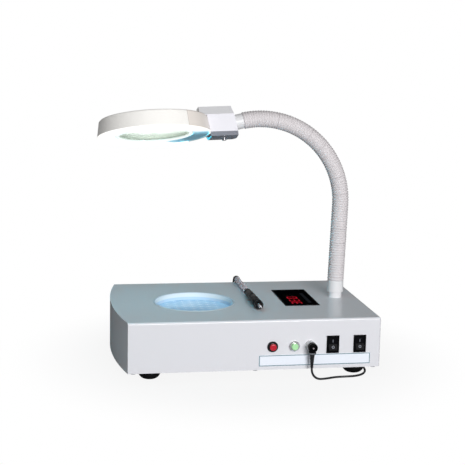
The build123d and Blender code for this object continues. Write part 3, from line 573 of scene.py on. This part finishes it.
def lit_cover():
    """The head's diffuser: white where the tube is, cyan by the bracket, where the tube's ends are."""
    made, tree_nodes, links, shader = material("lit_cover")
    away = length_of(tree_nodes, links, offset_from(tree_nodes, links, TUBE_GAP))
    rough = noise(tree_nodes, links, 110.0, 3.0)
    shift = calc(tree_nodes, links, "MULTIPLY_ADD", rough.outputs["Fac"], COVER_CLOUD, away)
    glow = ramp(tree_nodes, links, shift, COVER_GLOW)
    rays = tree_nodes.new("ShaderNodeLightPath")
    light = mixed_colour(tree_nodes, links, rays.outputs["Is Camera Ray"], LAMP_COLOUR,
                         glow.outputs["Color"])
    links.new(light, shader.inputs["Emission Color"])
    links.new(glow.outputs["Color"], shader.inputs["Base Color"])
    strength = calc(tree_nodes, links, "MULTIPLY_ADD", rays.outputs["Is Camera Ray"],
                    LAMP_SEEN - LAMP_POWER, LAMP_POWER)
    links.new(strength, shader.inputs["Emission Strength"])
    shader.inputs["Roughness"].default_value = 0.4
    shader.inputs["Specular IOR Level"].default_value = 0.2
    return made


def in_rectangle(tree_nodes, links, place, centre, half):
    """1 where a split place lies in a rectangle in X and Y, and 0 outside it."""
    sides = [calc(tree_nodes, links, "COMPARE", place[axis], centre[i], half[i])
             for i, axis in enumerate("XY")]
    return calc(tree_nodes, links, "MULTIPLY", *sides)


def dark_window():
    """Smoked window: black round the edge, see-through over the digits, with a dim strip."""
    made, tree_nodes, links, shader = material("display_window")
    centre = (DIGITS_MIDDLE.x, DIGITS_MIDDLE.y, corner("display_board", 1).z)
    place = split_of(tree_nodes, links, offset_from(tree_nodes, links, centre))
    clear_part = in_rectangle(tree_nodes, links, place, (0.0, 0.0), WINDOW_CLEAR)
    links.new(clear_part, shader.inputs["Transmission Weight"])
    dust = noise(tree_nodes, links, 300.0, 3.0)
    colour = ramp(tree_nodes, links, dust.outputs["Fac"],
                  [(0.3, (0.0008, 0.0008, 0.0012)), (0.7, (0.0016, 0.0016, 0.0022))])
    smoked = mixed_colour(tree_nodes, links, clear_part, colour.outputs["Color"], SMOKE)
    links.new(smoked, shader.inputs["Base Color"])
    strip = in_rectangle(tree_nodes, links, place, STRIP_MIDDLE, STRIP_HALF)
    retint(made, strip, srgb(40, 40, 45))
    gloss = ramp(tree_nodes, links, dust.outputs["Fac"], [(0.3, (0.08,) * 3), (0.7, (0.13,) * 3)])
    links.new(gloss.outputs["Color"], shader.inputs["Roughness"])
    shader.inputs["IOR"].default_value = 1.008
    shader.inputs["Specular IOR Level"].default_value = 0.02
    return made


def head_plane():
    """The head's lens axis, and the directions across it to the seam and along the wall there."""
    turn = Matrix.Rotation(-HEAD_ROLL, 3, "Y") @ Matrix.Rotation(HEAD_TILT, 3, "X")
    seam = turn @ Matrix.Rotation(SEAM_ANGLE, 3, "Z")
    return turn @ Vector((0, 0, 1)), seam @ Vector((1, 0, 0)), seam @ Vector((0, 1, 0))


def dress_seam(made, near, outward, sideways):
    """The seam in the ring's outer wall, and the ring's greyer stretch beyond it."""
    tree_nodes, links = made.node_tree.nodes, made.node_tree.links
    out = calc(tree_nodes, links, "GREATER_THAN", along(tree_nodes, links, near, outward), 0.0)
    side = along(tree_nodes, links, near, sideways)
    beyond = calc(tree_nodes, links, "GREATER_THAN", side, 0.0)
    retint(made, calc(tree_nodes, links, "MULTIPLY", out, beyond), srgb(232, 224, 217))
    line = calc(tree_nodes, links, "COMPARE", side, 0.0, SEAM_WIDTH / 2)
    retint(made, calc(tree_nodes, links, "MULTIPLY", out, line), srgb(196, 190, 184))


def light_ring(made, height, inner, rim, teal):
    """Painted light on the ring's inside wall and lower rim, and a faint painted glow over all the rest
    of the ring.
    """
    tree_nodes, links = made.node_tree.nodes, made.node_tree.links
    shader = tree_nodes["Principled BSDF"]
    plain_rim = calc(tree_nodes, links, "SUBTRACT", rim, calc(tree_nodes, links, "MULTIPLY", teal, 0.8))
    lit = calc(tree_nodes, links, "MAXIMUM", inner, plain_rim)
    strength = calc(tree_nodes, links, "MULTIPLY_ADD", lit, RING_LIT - RING_GLOW, RING_GLOW)
    links.new(strength, shader.inputs["Emission Strength"])
    climb = mapped(tree_nodes, links, height, INSIDE_DIM, INSIDE_LIT, smooth=False)
    inside = mixed_colour(tree_nodes, links, climb, SEAT_GREEN, LAMP_WHITE)
    outer = calc(tree_nodes, links, "SUBTRACT", 1.0, inner)
    under = calc(tree_nodes, links, "LESS_THAN", height, 0.0)
    white = calc(tree_nodes, links, "MAXIMUM", outer, under)
    colour = mixed_colour(tree_nodes, links, white, inside, LAMP_WHITE)
    links.new(colour, shader.inputs["Emission Color"])


def dress_ring(made):
    """The head ring: its seam, a stretch of rim with teal-grey painted shade, a darker inside wall
    under the lens, and painted light.
    """
    tree_nodes, links = made.node_tree.nodes, made.node_tree.links
    axis, outward, sideways = head_plane()
    near = offset_from(tree_nodes, links, middle("lens"))
    dress_seam(made, near, outward, sideways)
    cross = tree_nodes.new("ShaderNodeVectorMath")
    cross.operation = "CROSS_PRODUCT"
    links.new(near, cross.inputs[0])
    cross.inputs[1].default_value = tuple(axis)
    from_axis = length_of(tree_nodes, links, cross.outputs["Vector"])
    inner = calc(tree_nodes, links, "LESS_THAN", from_axis, RING_INSIDE)
    height = along(tree_nodes, links, near, axis)
    rim = calc(tree_nodes, links, "LESS_THAN", height, RIM_LIT)
    from_gap = length_of(tree_nodes, links, offset_from(tree_nodes, links, TUBE_GAP))
    by_gap = calc(tree_nodes, links, "LESS_THAN", from_gap, GAP_REACH)
    teal = calc(tree_nodes, links, "MULTIPLY", rim, by_gap)
    # Painted shade: the rim by the tube's ends is teal-grey and gets no painted light.
    retint(made, teal, srgb(84, 90, 92))
    seat = calc(tree_nodes, links, "LESS_THAN", height, SEAT_UNDER)
    retint(made, calc(tree_nodes, links, "MULTIPLY", inner, seat), srgb(60, 50, 48))
    light_ring(made, height, inner, rim, teal)


def dress_lens(made):
    """Painted light: a glow on the front part of the lens's underside that stands for the lamp's glare.
    """
    tree_nodes, links = made.node_tree.nodes, made.node_tree.links
    shader = tree_nodes["Principled BSDF"]
    axis = head_plane()[0]
    backward = Vector((1, 0, 0)).cross(axis) * -1
    near = offset_from(tree_nodes, links, middle("lens"))
    surface = tree_nodes.new("ShaderNodeNewGeometry")
    normal = tree_nodes.new("ShaderNodeVectorTransform")
    normal.vector_type = "NORMAL"
    normal.convert_from = "WORLD"
    normal.convert_to = "OBJECT"
    links.new(surface.outputs["Normal"], normal.inputs["Vector"])
    facing = along(tree_nodes, links, normal.outputs["Vector"], axis)
    under = calc(tree_nodes, links, "LESS_THAN", facing, -0.5)
    spread = mapped(tree_nodes, links, along(tree_nodes, links, near, backward), GLARE_FULL, GLARE_NONE,
                    low=GLARE, high=0.0)
    glare = calc(tree_nodes, links, "MULTIPLY", under, spread)
    links.new(glare, shader.inputs["Emission Strength"])
    shader.inputs["Emission Color"].default_value = (0.96, 1.0, 0.98, 1)


def dress_bracket(made):
    """Painted shade makes the bracket's underside a darker grey than its face, and a painted highlight
    makes its top lighter.
    """
    tree_nodes, links = made.node_tree.nodes, made.node_tree.links
    near = offset_from(tree_nodes, links, middle("lens"))
    height = along(tree_nodes, links, near, head_plane()[0])
    retint(made, calc(tree_nodes, links, "LESS_THAN", height, BRACKET_UNDER), srgb(150, 151, 160))
    retint(made, calc(tree_nodes, links, "GREATER_THAN", height, BRACKET_TOP), srgb(252, 252, 255))


def dress_plug(made):
    """The plug's metal rear part, its pale collar over the boot, and a painted highlight in the middle
    of its end.
    """
    tree_nodes, links = made.node_tree.nodes, made.node_tree.links
    low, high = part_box("pen_plug")
    end = Vector(((low.x + high.x) / 2, low.y, high.z - (high.x - low.x) / 2))
    near = offset_from(tree_nodes, links, end)
    place = split_of(tree_nodes, links, near)
    collar = calc(tree_nodes, links, "LESS_THAN", place["Z"], low.z + PLUG_COLLAR - end.z)
    retint(made, collar, srgb(116, 118, 124))
    rear = calc(tree_nodes, links, "GREATER_THAN", place["Y"], PLUG_BLACK)
    retint(made, rear, srgb(222, 222, 226))
    away = length_of(tree_nodes, links, near)
    # Painted highlight: a pale dot in the middle of the plug's end.
    retint(made, calc(tree_nodes, links, "LESS_THAN", away, END_HIGHLIGHT), srgb(158, 150, 154))


def dress_well(made):
    """Painted light: the lower part of the well's wall takes on the blue light of the lit plate."""
    tree_nodes, links = made.node_tree.nodes, made.node_tree.links
    place = split_of(tree_nodes, links, offset_from(tree_nodes, links, (0.0, 0.0, 0.0)))
    edge = corner("counting_plate", 1).z + WELL_BLUE
    blue = mapped(tree_nodes, links, place["Z"], edge - WELL_SOFT, edge + WELL_SOFT, low=1.0, high=0.0)
    retint(made, blue, srgb(198, 222, 240))
    lip = calc(tree_nodes, links, "GREATER_THAN", place["Z"], corner("well_ring", 1).z - WELL_LIP)
    retint(made, lip, srgb(206, 213, 222))


paint = finish_of("case_paint", colour=srgb(228, 228, 233), roughness=0.20, mottle=0.004,
                  mottle_scale=7.0, grain_scale=1100.0, grain=0.004 * MM, specular=0.45, worn=0.012)
plate_paint = finish_of("plate_paint", colour=srgb(200, 203, 208), roughness=0.42, mottle=0.02,
                        mottle_scale=14.0, grain_scale=1100.0, grain=0.01 * MM)
head_white = finish_of("head_white", colour=srgb(250, 248, 244), roughness=0.34, mottle=0.006,
                       mottle_scale=16.0, grain_scale=1300.0, grain=0.005 * MM, specular=0.4,
                       worn=0.02)
bracket_white = finish_of("bracket_white", colour=srgb(236, 235, 242), roughness=0.36, mottle=0.01,
                          mottle_scale=24.0, grain_scale=1300.0, grain=0.005 * MM, specular=0.4,
                          worn=0.02)
hose_white = finish_of("hose_white", colour=srgb(222, 217, 219), roughness=0.50, mottle=0.02,
                       mottle_scale=40.0, grain_scale=900.0, grain=0.004 * MM, specular=0.3,
                       worn=0.03)
sleeve_white = finish_of("sleeve_white", colour=srgb(232, 232, 234), roughness=0.36, mottle=0.01,
                         mottle_scale=40.0, grain_scale=1500.0, grain=0.004 * MM, specular=0.4,
                         worn=0.02)
foot_rubber = finish_of("foot_rubber", colour=srgb(12, 12, 14), roughness=0.62, mottle=0.12,
                        mottle_scale=70.0, grain_scale=1400.0, grain=0.02 * MM, specular=0.12)
screw_steel = finish_of("screw_steel", colour=(0.58, 0.58, 0.60), roughness=0.30, mottle=0.06,
                        mottle_scale=200.0, grain_scale=2500.0, grain=0.003 * MM, specular=0.5,
                        metallic=1.0)
well_white = finish_of("well_white", colour=srgb(232, 240, 243), roughness=0.30, mottle=0.01,
                       mottle_scale=20.0, grain_scale=1300.0, grain=0.004 * MM, specular=0.4,
                       worn=0.02)
pan_white = finish_of("pan_white", colour=srgb(232, 236, 238), roughness=0.4, mottle=0.02,
                      mottle_scale=20.0, grain_scale=1000.0, grain=0.01 * MM)
opal = glowing("opal_glass", colour=srgb(226, 240, 250), light=srgb(190, 222, 248), strength=0.6)
lamp_board = finish_of("lamp_board", colour=srgb(230, 233, 228), roughness=0.45, mottle=0.03,
                       mottle_scale=80.0, grain_scale=900.0, grain=0.01 * MM)
black_gloss = finish_of("black_gloss", colour=srgb(14, 12, 14), roughness=0.18, mottle=0.15,
                        mottle_scale=60.0, grain_scale=1600.0, grain=0.002 * MM, specular=0.6)
plug_black = finish_of("plug_black", colour=srgb(8, 8, 10), roughness=0.30, mottle=0.15,
                       mottle_scale=60.0, grain_scale=1600.0, grain=0.002 * MM, specular=0.03)
black_satin = finish_of("black_satin", colour=srgb(6, 6, 9), roughness=0.36, mottle=0.15,
                        mottle_scale=60.0, grain_scale=1600.0, grain=0.004 * MM, specular=0.05)
rocker_black = finish_of("rocker_black", colour=srgb(8, 8, 12), roughness=0.34, mottle=0.15,
                         mottle_scale=60.0, grain_scale=1600.0, grain=0.003 * MM, specular=0.06)
frame_black = finish_of("frame_black", colour=srgb(8, 8, 10), roughness=0.5, mottle=0.15,
                        mottle_scale=60.0, grain_scale=1600.0, grain=0.004 * MM, specular=0.02)
board_green = finish_of("board_green", colour=srgb(24, 92, 56), roughness=0.4, mottle=0.15,
                        mottle_scale=60.0, grain_scale=500.0, grain=0.02 * MM)
module_black = finish_of("module_black", colour=srgb(2, 2, 2), roughness=0.6, mottle=0.1,
                         mottle_scale=60.0, grain_scale=500.0, grain=0.01 * MM, specular=0.0)
core_steel = finish_of("core_steel", colour=srgb(88, 88, 92), roughness=0.5, mottle=0.1,
                       mottle_scale=200.0, grain_scale=1500.0, grain=0.04 * MM, specular=0.5,
                       metallic=0.6)
coil_tape = finish_of("coil_tape", colour=srgb(206, 176, 72), roughness=0.35, mottle=0.1,
                      mottle_scale=60.0, grain_scale=700.0, grain=0.03 * MM)
button_red = finish_of("button_red", colour=srgb(190, 24, 44), roughness=0.24, mottle=0.08,
                       mottle_scale=200.0, grain_scale=1600.0, grain=0.003 * MM, specular=0.5)
button_green = glowing("button_green", colour=srgb(176, 226, 172), light=srgb(150, 226, 150),
                       strength=0.14, roughness=0.25)
chrome = finish_of("chrome", colour=(0.93, 0.93, 0.94), roughness=0.16, mottle=0.02,
                   mottle_scale=200.0, grain_scale=1600.0, grain=0.002 * MM, specular=0.5,
                   metallic=0.85, worn=0.03)
nickel = finish_of("nickel", colour=(0.96, 0.96, 0.97), roughness=0.22, mottle=0.02,
                   mottle_scale=200.0, grain_scale=1600.0, grain=0.002 * MM, specular=0.6,
                   metallic=0.45, worn=0.03)
label_pale = finish_of("label_pale", colour=srgb(240, 245, 255), roughness=0.36, mottle=0.008,
                       mottle_scale=30.0, grain_scale=900.0, grain=0.003 * MM, specular=0.3)
pen_rubber = finish_of("pen_rubber", colour=srgb(4, 5, 8), roughness=0.46, mottle=0.2,
                       mottle_scale=30.0, grain_scale=1400.0, grain=0.003 * MM, specular=0.18,
                       worn=0.34)
pen_silver = finish_of("pen_silver", colour=(0.34, 0.34, 0.36), roughness=0.20, mottle=0.05,
                       mottle_scale=200.0, grain_scale=1600.0, grain=0.003 * MM, specular=0.5,
                       metallic=1.0)
pen_plastic = clear("pen_clear", colour=srgb(250, 244, 252), roughness=0.04, ior=1.46, clarity=0.80)
lens_glass = clear("lens_glass", colour=srgb(232, 245, 236), roughness=0.015, ior=1.14, smudge=0.01)
tube_glass = glowing("lamp_tube", colour=(0.95, 0.97, 0.97), light=(0.95, 1.0, 1.0), strength=1.0)
# Painted light: the lens retainer is no lamp, but glows as if lit by the head's lamp.
retainer_lit = glowing("retainer_lit", colour=srgb(120, 124, 124), light=(0.94, 1.0, 1.0),
                       strength=0.9)
window_smoked = dark_window()
dress_ring(head_white)
dress_plug(plug_black)
dress_well(well_white)
dress_bracket(bracket_white)
dress_lens(lens_glass)

FINISHES = {
    paint: ("cover",),
    plate_paint: ("base_plate",),
    head_white: ("head_ring",),
    retainer_lit: ("lens_retainer",),
    bracket_white: ("bracket",),
    sleeve_white: ("neck_collar", "neck_sleeve", "neck_end_sleeve"),
    foot_rubber: ("feet",),
    screw_steel: ("case_screws", "clamp_screw", "button_nuts", "neck_nut"),
    well_white: ("well_ring",),
    pan_white: ("light_pan",),
    opal: ("opal_plate",),
    ruled_plate(): ("counting_plate",),
    lamp_board: ("base_lamp",),
    frame_black: ("display_frame",),
    window_smoked: ("display_window",),
    module_black: ("display_board",),
    board_green: ("control_board",),
    core_steel: ("transformer_core",),
    coil_tape: ("transformer_winding",),
    black_gloss: ("red_button_body",),
    plug_black: ("pen_plug",),
    black_satin: ("pen_socket", "power_switch_body", "lamp_switch_body", "mains_inlet",
                  "fuse_drawer"),
    rocker_black: ("power_rocker", "lamp_rocker"),
    button_red: ("red_button_cap",),
    button_green: ("green_button_cap",),
    chrome: ("green_button_body",),
    nickel: ("socket_nut",),
    label_pale: ("label_plate",),
    lead_black: ("plug_boot",),
    pen_rubber: ("pen_grip", "pen_cap"),
    pen_silver: ("pen_nose", "pen_tip"),
    pen_plastic: ("pen_barrel",),
    lens_glass: ("lens",),
    lit_cover(): ("lamp_cover",),
    tube_glass: ("head_lamp",),
}
for finish, names in FINISHES.items():
    for name in names:
        nodes[name].data.materials.clear()
        nodes[name].data.materials.append(finish)


# ------------------------------------------------------------------ gooseneck
HOSE_RADIUS = 10.3 * MM
HOSE_SIDES = 48
NECK_LEAN = radians(1.5)
NECK_STRAIGHT = 96.0 * MM
NECK_RADIUS = 104.0 * MM
NECK_TURN = radians(104.0)
BEND_PLACES = (26.0 * MM, 88.0 * MM, 154.0 * MM, 220.0 * MM)
BEND_REACH = 22.0 * MM       # the hose bends this far to each side of a bend's middle
RIB_PITCH = 3.1 * MM
RIB_DEPTH = 1.0 * MM
RIB_SHAPE = ((0.0, 1.0), (0.13, 0.45), (0.28, 0.08), (0.5, 0.0), (0.72, 0.08), (0.87, 0.45))
# RIB_SHAPE: share of a rib's length, and share of its depth there


def hose_frame(distance):
    """Place on the hose's centre line: local Z runs along the hose, local Y stays on Y."""
    foot = middle("neck_sleeve")
    start_z = corner("neck_sleeve", 1).z
    end_x = foot.x + NECK_STRAIGHT * sin(NECK_LEAN)
    end_z = start_z + NECK_STRAIGHT * cos(NECK_LEAN)
    if distance <= NECK_STRAIGHT:
        angle = NECK_LEAN if distance > 0 else 0.0
        x = foot.x + distance * sin(NECK_LEAN)
        z = start_z + distance * cos(NECK_LEAN)
    else:
        angle = NECK_LEAN - (distance - NECK_STRAIGHT) / NECK_RADIUS
        x = end_x + NECK_RADIUS * (cos(angle) - cos(NECK_LEAN))
        z = end_z + NECK_RADIUS * (sin(NECK_LEAN) - sin(angle))
    return Matrix.Translation((x, foot.y, z)) @ Matrix.Rotation(angle, 4, "Y")


def hose_piece(name, start, end):
    """A stretch of ribbed hose: close bands with a narrow groove between each two."""
    ribs = max(1, round((end - start) / RIB_PITCH))
    points = []
    places = [(i + share, depth) for i in range(ribs) for share, depth in RIB_SHAPE]
    places.append((ribs, 1.0))
    for at, depth in places:
        place = hose_frame(start + (end - start) * at / ribs)
        radius = HOSE_RADIUS - RIB_DEPTH * depth
        for j in range(HOSE_SIDES):
            angle = 2 * pi * j / HOSE_SIDES
            points.append(place @ Vector((radius * cos(angle), radius * sin(angle), 0)))
    faces = ring_faces(len(places), HOSE_SIDES)
    last = (len(places) - 1) * HOSE_SIDES
    faces.append(tuple(reversed(range(HOSE_SIDES))))
    faces.append(tuple(range(last, last + HOSE_SIDES)))
    piece = mesh_object(name, points, faces)
    for cap in piece.data.polygons[-2:]:
        cap.use_smooth = False
    piece.data.materials.append(hose_white)
    return piece


def make_hose():
    """The hose: stretches that ride on one body, and stretches between two bodies that stay fixed where
    they are built.
    """
    length = NECK_STRAIGHT + NECK_RADIUS * NECK_TURN
    bodies = ("base", "neck_a", "neck_b", "neck_c", "neck_d")
    start = 0.0
    for i, body in enumerate(bodies):
        end = BEND_PLACES[i] - BEND_REACH if i < len(BEND_PLACES) else length
        piece = hose_piece(f"hose_straight_{i + 1}", start, end)
        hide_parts(f"hose_{i + 1}")
        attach(piece, body)
        if i < len(BEND_PLACES):
            start = BEND_PLACES[i] + BEND_REACH
            piece = hose_piece(f"hose_flexing_{i + 1}", end, start)
            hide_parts(f"hose_bend_{i + 1}")
            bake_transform(piece)


make_hose()


# ------------------------------------------------------------------ front panel
LINE_WIDTH = 0.9 * MM         # of the line round the label
LINE_INSET = 0.25 * MM
LINE_PROUD = 0.06 * MM
LINE_SUNK = 0.02 * MM
ROCKER_PIVOT_Y = -102.1 * MM
ROCKER_PIVOT_Z = 39.9 * MM
ROCKER_SWING = radians(22.0)
ROCKER_FACE = 1.3 * MM * cos(ROCKER_SWING / 2)      # the face's middle line, out from the pivot
ROCKER_RISE = 1.3 * MM * sin(ROCKER_SWING / 2)      # and up from it
MARK_HEIGHT = 3.4 * MM
MARK_WIDTH = 0.7 * MM
MARK_OFFSET = 3.7 * MM        # from the face's middle line to a mark's middle
MARK_PROUD = 0.08 * MM
MARK_SUNK = 0.02 * MM


def label_line(name, low, high, finish):
    """A thin printed bar between two corners, on the base."""
    (x0, y0, z0), (x1, y1, z1) = low, high
    points = [(x, y, z) for x in (x0, x1) for y in (y0, y1) for z in (z0, z1)]
    faces = [(0, 1, 3, 2), (4, 6, 7, 5), (0, 4, 5, 1), (2, 3, 7, 6), (0, 2, 6, 4), (1, 5, 7, 3)]
    bar = mesh_object(name, points, faces, smooth=False)
    bar.data.materials.append(finish)
    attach(bar, "base")


def make_label_outline():
    """The thin teal-grey line printed round the edge of the bare label."""
    ink = finish_of("label_ink", colour=srgb(112, 142, 152), roughness=0.45, mottle=0.08,
                    mottle_scale=90.0, grain_scale=900.0, grain=0.005 * MM, specular=0.2)
    low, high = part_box("label_plate")
    x0, x1 = low.x + LINE_INSET, high.x - LINE_INSET
    z0, z1 = low.z + LINE_INSET, high.z - LINE_INSET
    sides = {
        "top": ((x0, z1 - LINE_WIDTH), (x1, z1)),
        "bottom": ((x0, z0), (x1, z0 + LINE_WIDTH)),
        "left": ((x0, z0 + LINE_WIDTH), (x0 + LINE_WIDTH, z1 - LINE_WIDTH)),
        "right": ((x1 - LINE_WIDTH, z0 + LINE_WIDTH), (x1, z1 - LINE_WIDTH)),
    }
    front, back = low.y - LINE_PROUD, low.y + LINE_SUNK
    for side, (one, two) in sides.items():
        label_line(f"label_line_{side}", (one[0], front, one[1]), (two[0], back, two[1]), ink)


def on_rocker(x, z, depth, lower):
    """A point on one half of a rocker at rest, from its place on that half and its depth in it."""
    angle = ROCKER_SWING if lower else 0.0
    z += -MARK_OFFSET if lower else MARK_OFFSET
    inwards = depth * cos(angle) + z * sin(angle) - ROCKER_FACE
    up = z * cos(angle) - depth * sin(angle) + ROCKER_RISE
    return (x, ROCKER_PIVOT_Y + inwards, ROCKER_PIVOT_Z + up)


def plate_faces(count, hole):
    """Faces of a thin plate from two layers of points: count round it, and count round its hole."""
    layer = 2 * count if hole else count
    faces = []
    for j in range(count):
        k = (j + 1) % count
        faces.append((j, k, layer + k, layer + j))
        if hole:
            faces.append((count + k, count + j, layer + count + j, layer + count + k))
            faces.append((k, j, count + j, count + k))
            faces.append((layer + j, layer + k, layer + count + k, layer + count + j))
    if not hole:
        faces.append(tuple(reversed(range(count))))
        faces.append(tuple(range(layer, layer + count)))
    return faces


def rocker_mark(name, outline, hole, x, lower, body, finish):
    """A thin mark on one half of a rocker's face, from (x, z) points and any hole's points."""
    points = [on_rocker(x + px, pz, depth, lower)
              for depth in (-MARK_PROUD, MARK_SUNK) for px, pz in outline + hole]
    mark = mesh_object(name, points, plate_faces(len(outline), bool(hole)), smooth=False)
    mark.data.materials.append(finish)
    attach(mark, body)


def circle(radius, count=32):
    """Points round a circle."""
    angles = [2 * pi * j / count for j in range(count)]
    return [(radius * cos(angle), radius * sin(angle)) for angle in angles]


def make_rocker_marks():
    """A line for on and a ring for off on each rocker."""
    ink = finish_of("mark_white", colour=srgb(134, 138, 148), roughness=0.5, mottle=0.05,
                    mottle_scale=90.0, grain_scale=900.0, grain=0.005 * MM, specular=0.3)
    w, h = MARK_WIDTH / 2, MARK_HEIGHT / 2
    bar = [(-w, -h), (w, -h), (w, h), (-w, h)]
    for body, node in (("power_switch", "power_rocker"), ("lamp_switch", "lamp_rocker")):
        x = middle(node).x
        rocker_mark(f"{body}_on_mark", bar, [], x, False, body, ink)
        rocker_mark(f"{body}_off_mark", circle(h), circle(h - MARK_WIDTH), x, True, body, ink)


make_label_outline()
make_rocker_marks()


# ------------------------------------------------------------------ display
DIGIT_LENGTH = 11.8 * MM      # a digit's height, which lies along X
DIGIT_WIDTH = 8.4 * MM
DIGIT_STROKE = 1.3 * MM
DIGIT_PITCH = 14.0 * MM
DIGIT_GAP = 0.15 * MM         # half the gap between the tips of two bars
DIGIT_DEPTH = 0.25 * MM
DIGIT_LIFT = 0.1 * MM         # over the underside of the window
DIGITS = "036"
SEGMENTS = {"0": "abcdef", "3": "abgcd", "6": "afgedc"}
SEGMENT_ENDS = {              # ends of a digit's bars: shares of its width and height
    "a": ((0, 1), (1, 1)), "b": ((1, 1), (1, 0.5)), "c": ((1, 0.5), (1, 0)),
    "d": ((0, 0), (1, 0)), "e": ((0, 0.5), (0, 0)), "f": ((0, 1), (0, 0.5)),
    "g": ((0, 0.5), (1, 0.5)),
}


def digit_bar(name, start, end, level, finish):
    """A six-sided bar of a digit, lying flat, between two (x, y) points."""
    a, b = Vector(start), Vector(end)
    ahead = (b - a).normalized()
    across = Vector((-ahead.y, ahead.x)) * DIGIT_STROKE / 2
    trim = ahead * (DIGIT_STROKE / 2 + DIGIT_GAP)
    tip = ahead * DIGIT_GAP
    near = [a + trim - across, a + tip, a + trim + across]
    far = [b - trim + across, b - tip, b - trim - across]
    outline = near[1:] + far + near[:1]
    points = [(p.x, p.y, level + z) for z in (0.0, DIGIT_DEPTH) for p in outline]
    faces = [tuple(reversed(range(6))), tuple(range(6, 12))]
    faces += [(j, (j + 1) % 6, 6 + (j + 1) % 6, 6 + j) for j in range(6)]
    bar = mesh_object(name, points, faces, smooth=False)
    bar.data.materials.append(finish)
    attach(bar, "base")


def make_digits():
    """Three lit digits under the window; their height lies along X."""
    lit = glowing("digit_lit", colour=srgb(220, 40, 60), light=srgb(255, 40, 64), strength=2.2)
    level = corner("display_window", 0).z + DIGIT_LIFT
    first = DIGITS_MIDDLE.y + DIGIT_PITCH * (len(DIGITS) - 1) / 2
    for i, digit in enumerate(DIGITS):
        y = first - DIGIT_PITCH * i
        for letter in SEGMENTS[digit]:
            ends = [(DIGITS_MIDDLE.x + (up - 0.5) * DIGIT_LENGTH, y - (across - 0.5) * DIGIT_WIDTH)
                    for across, up in SEGMENT_ENDS[letter]]
            digit_bar(f"digit_{i + 1}_{letter}", ends[0], ends[1], level, lit)


make_digits()
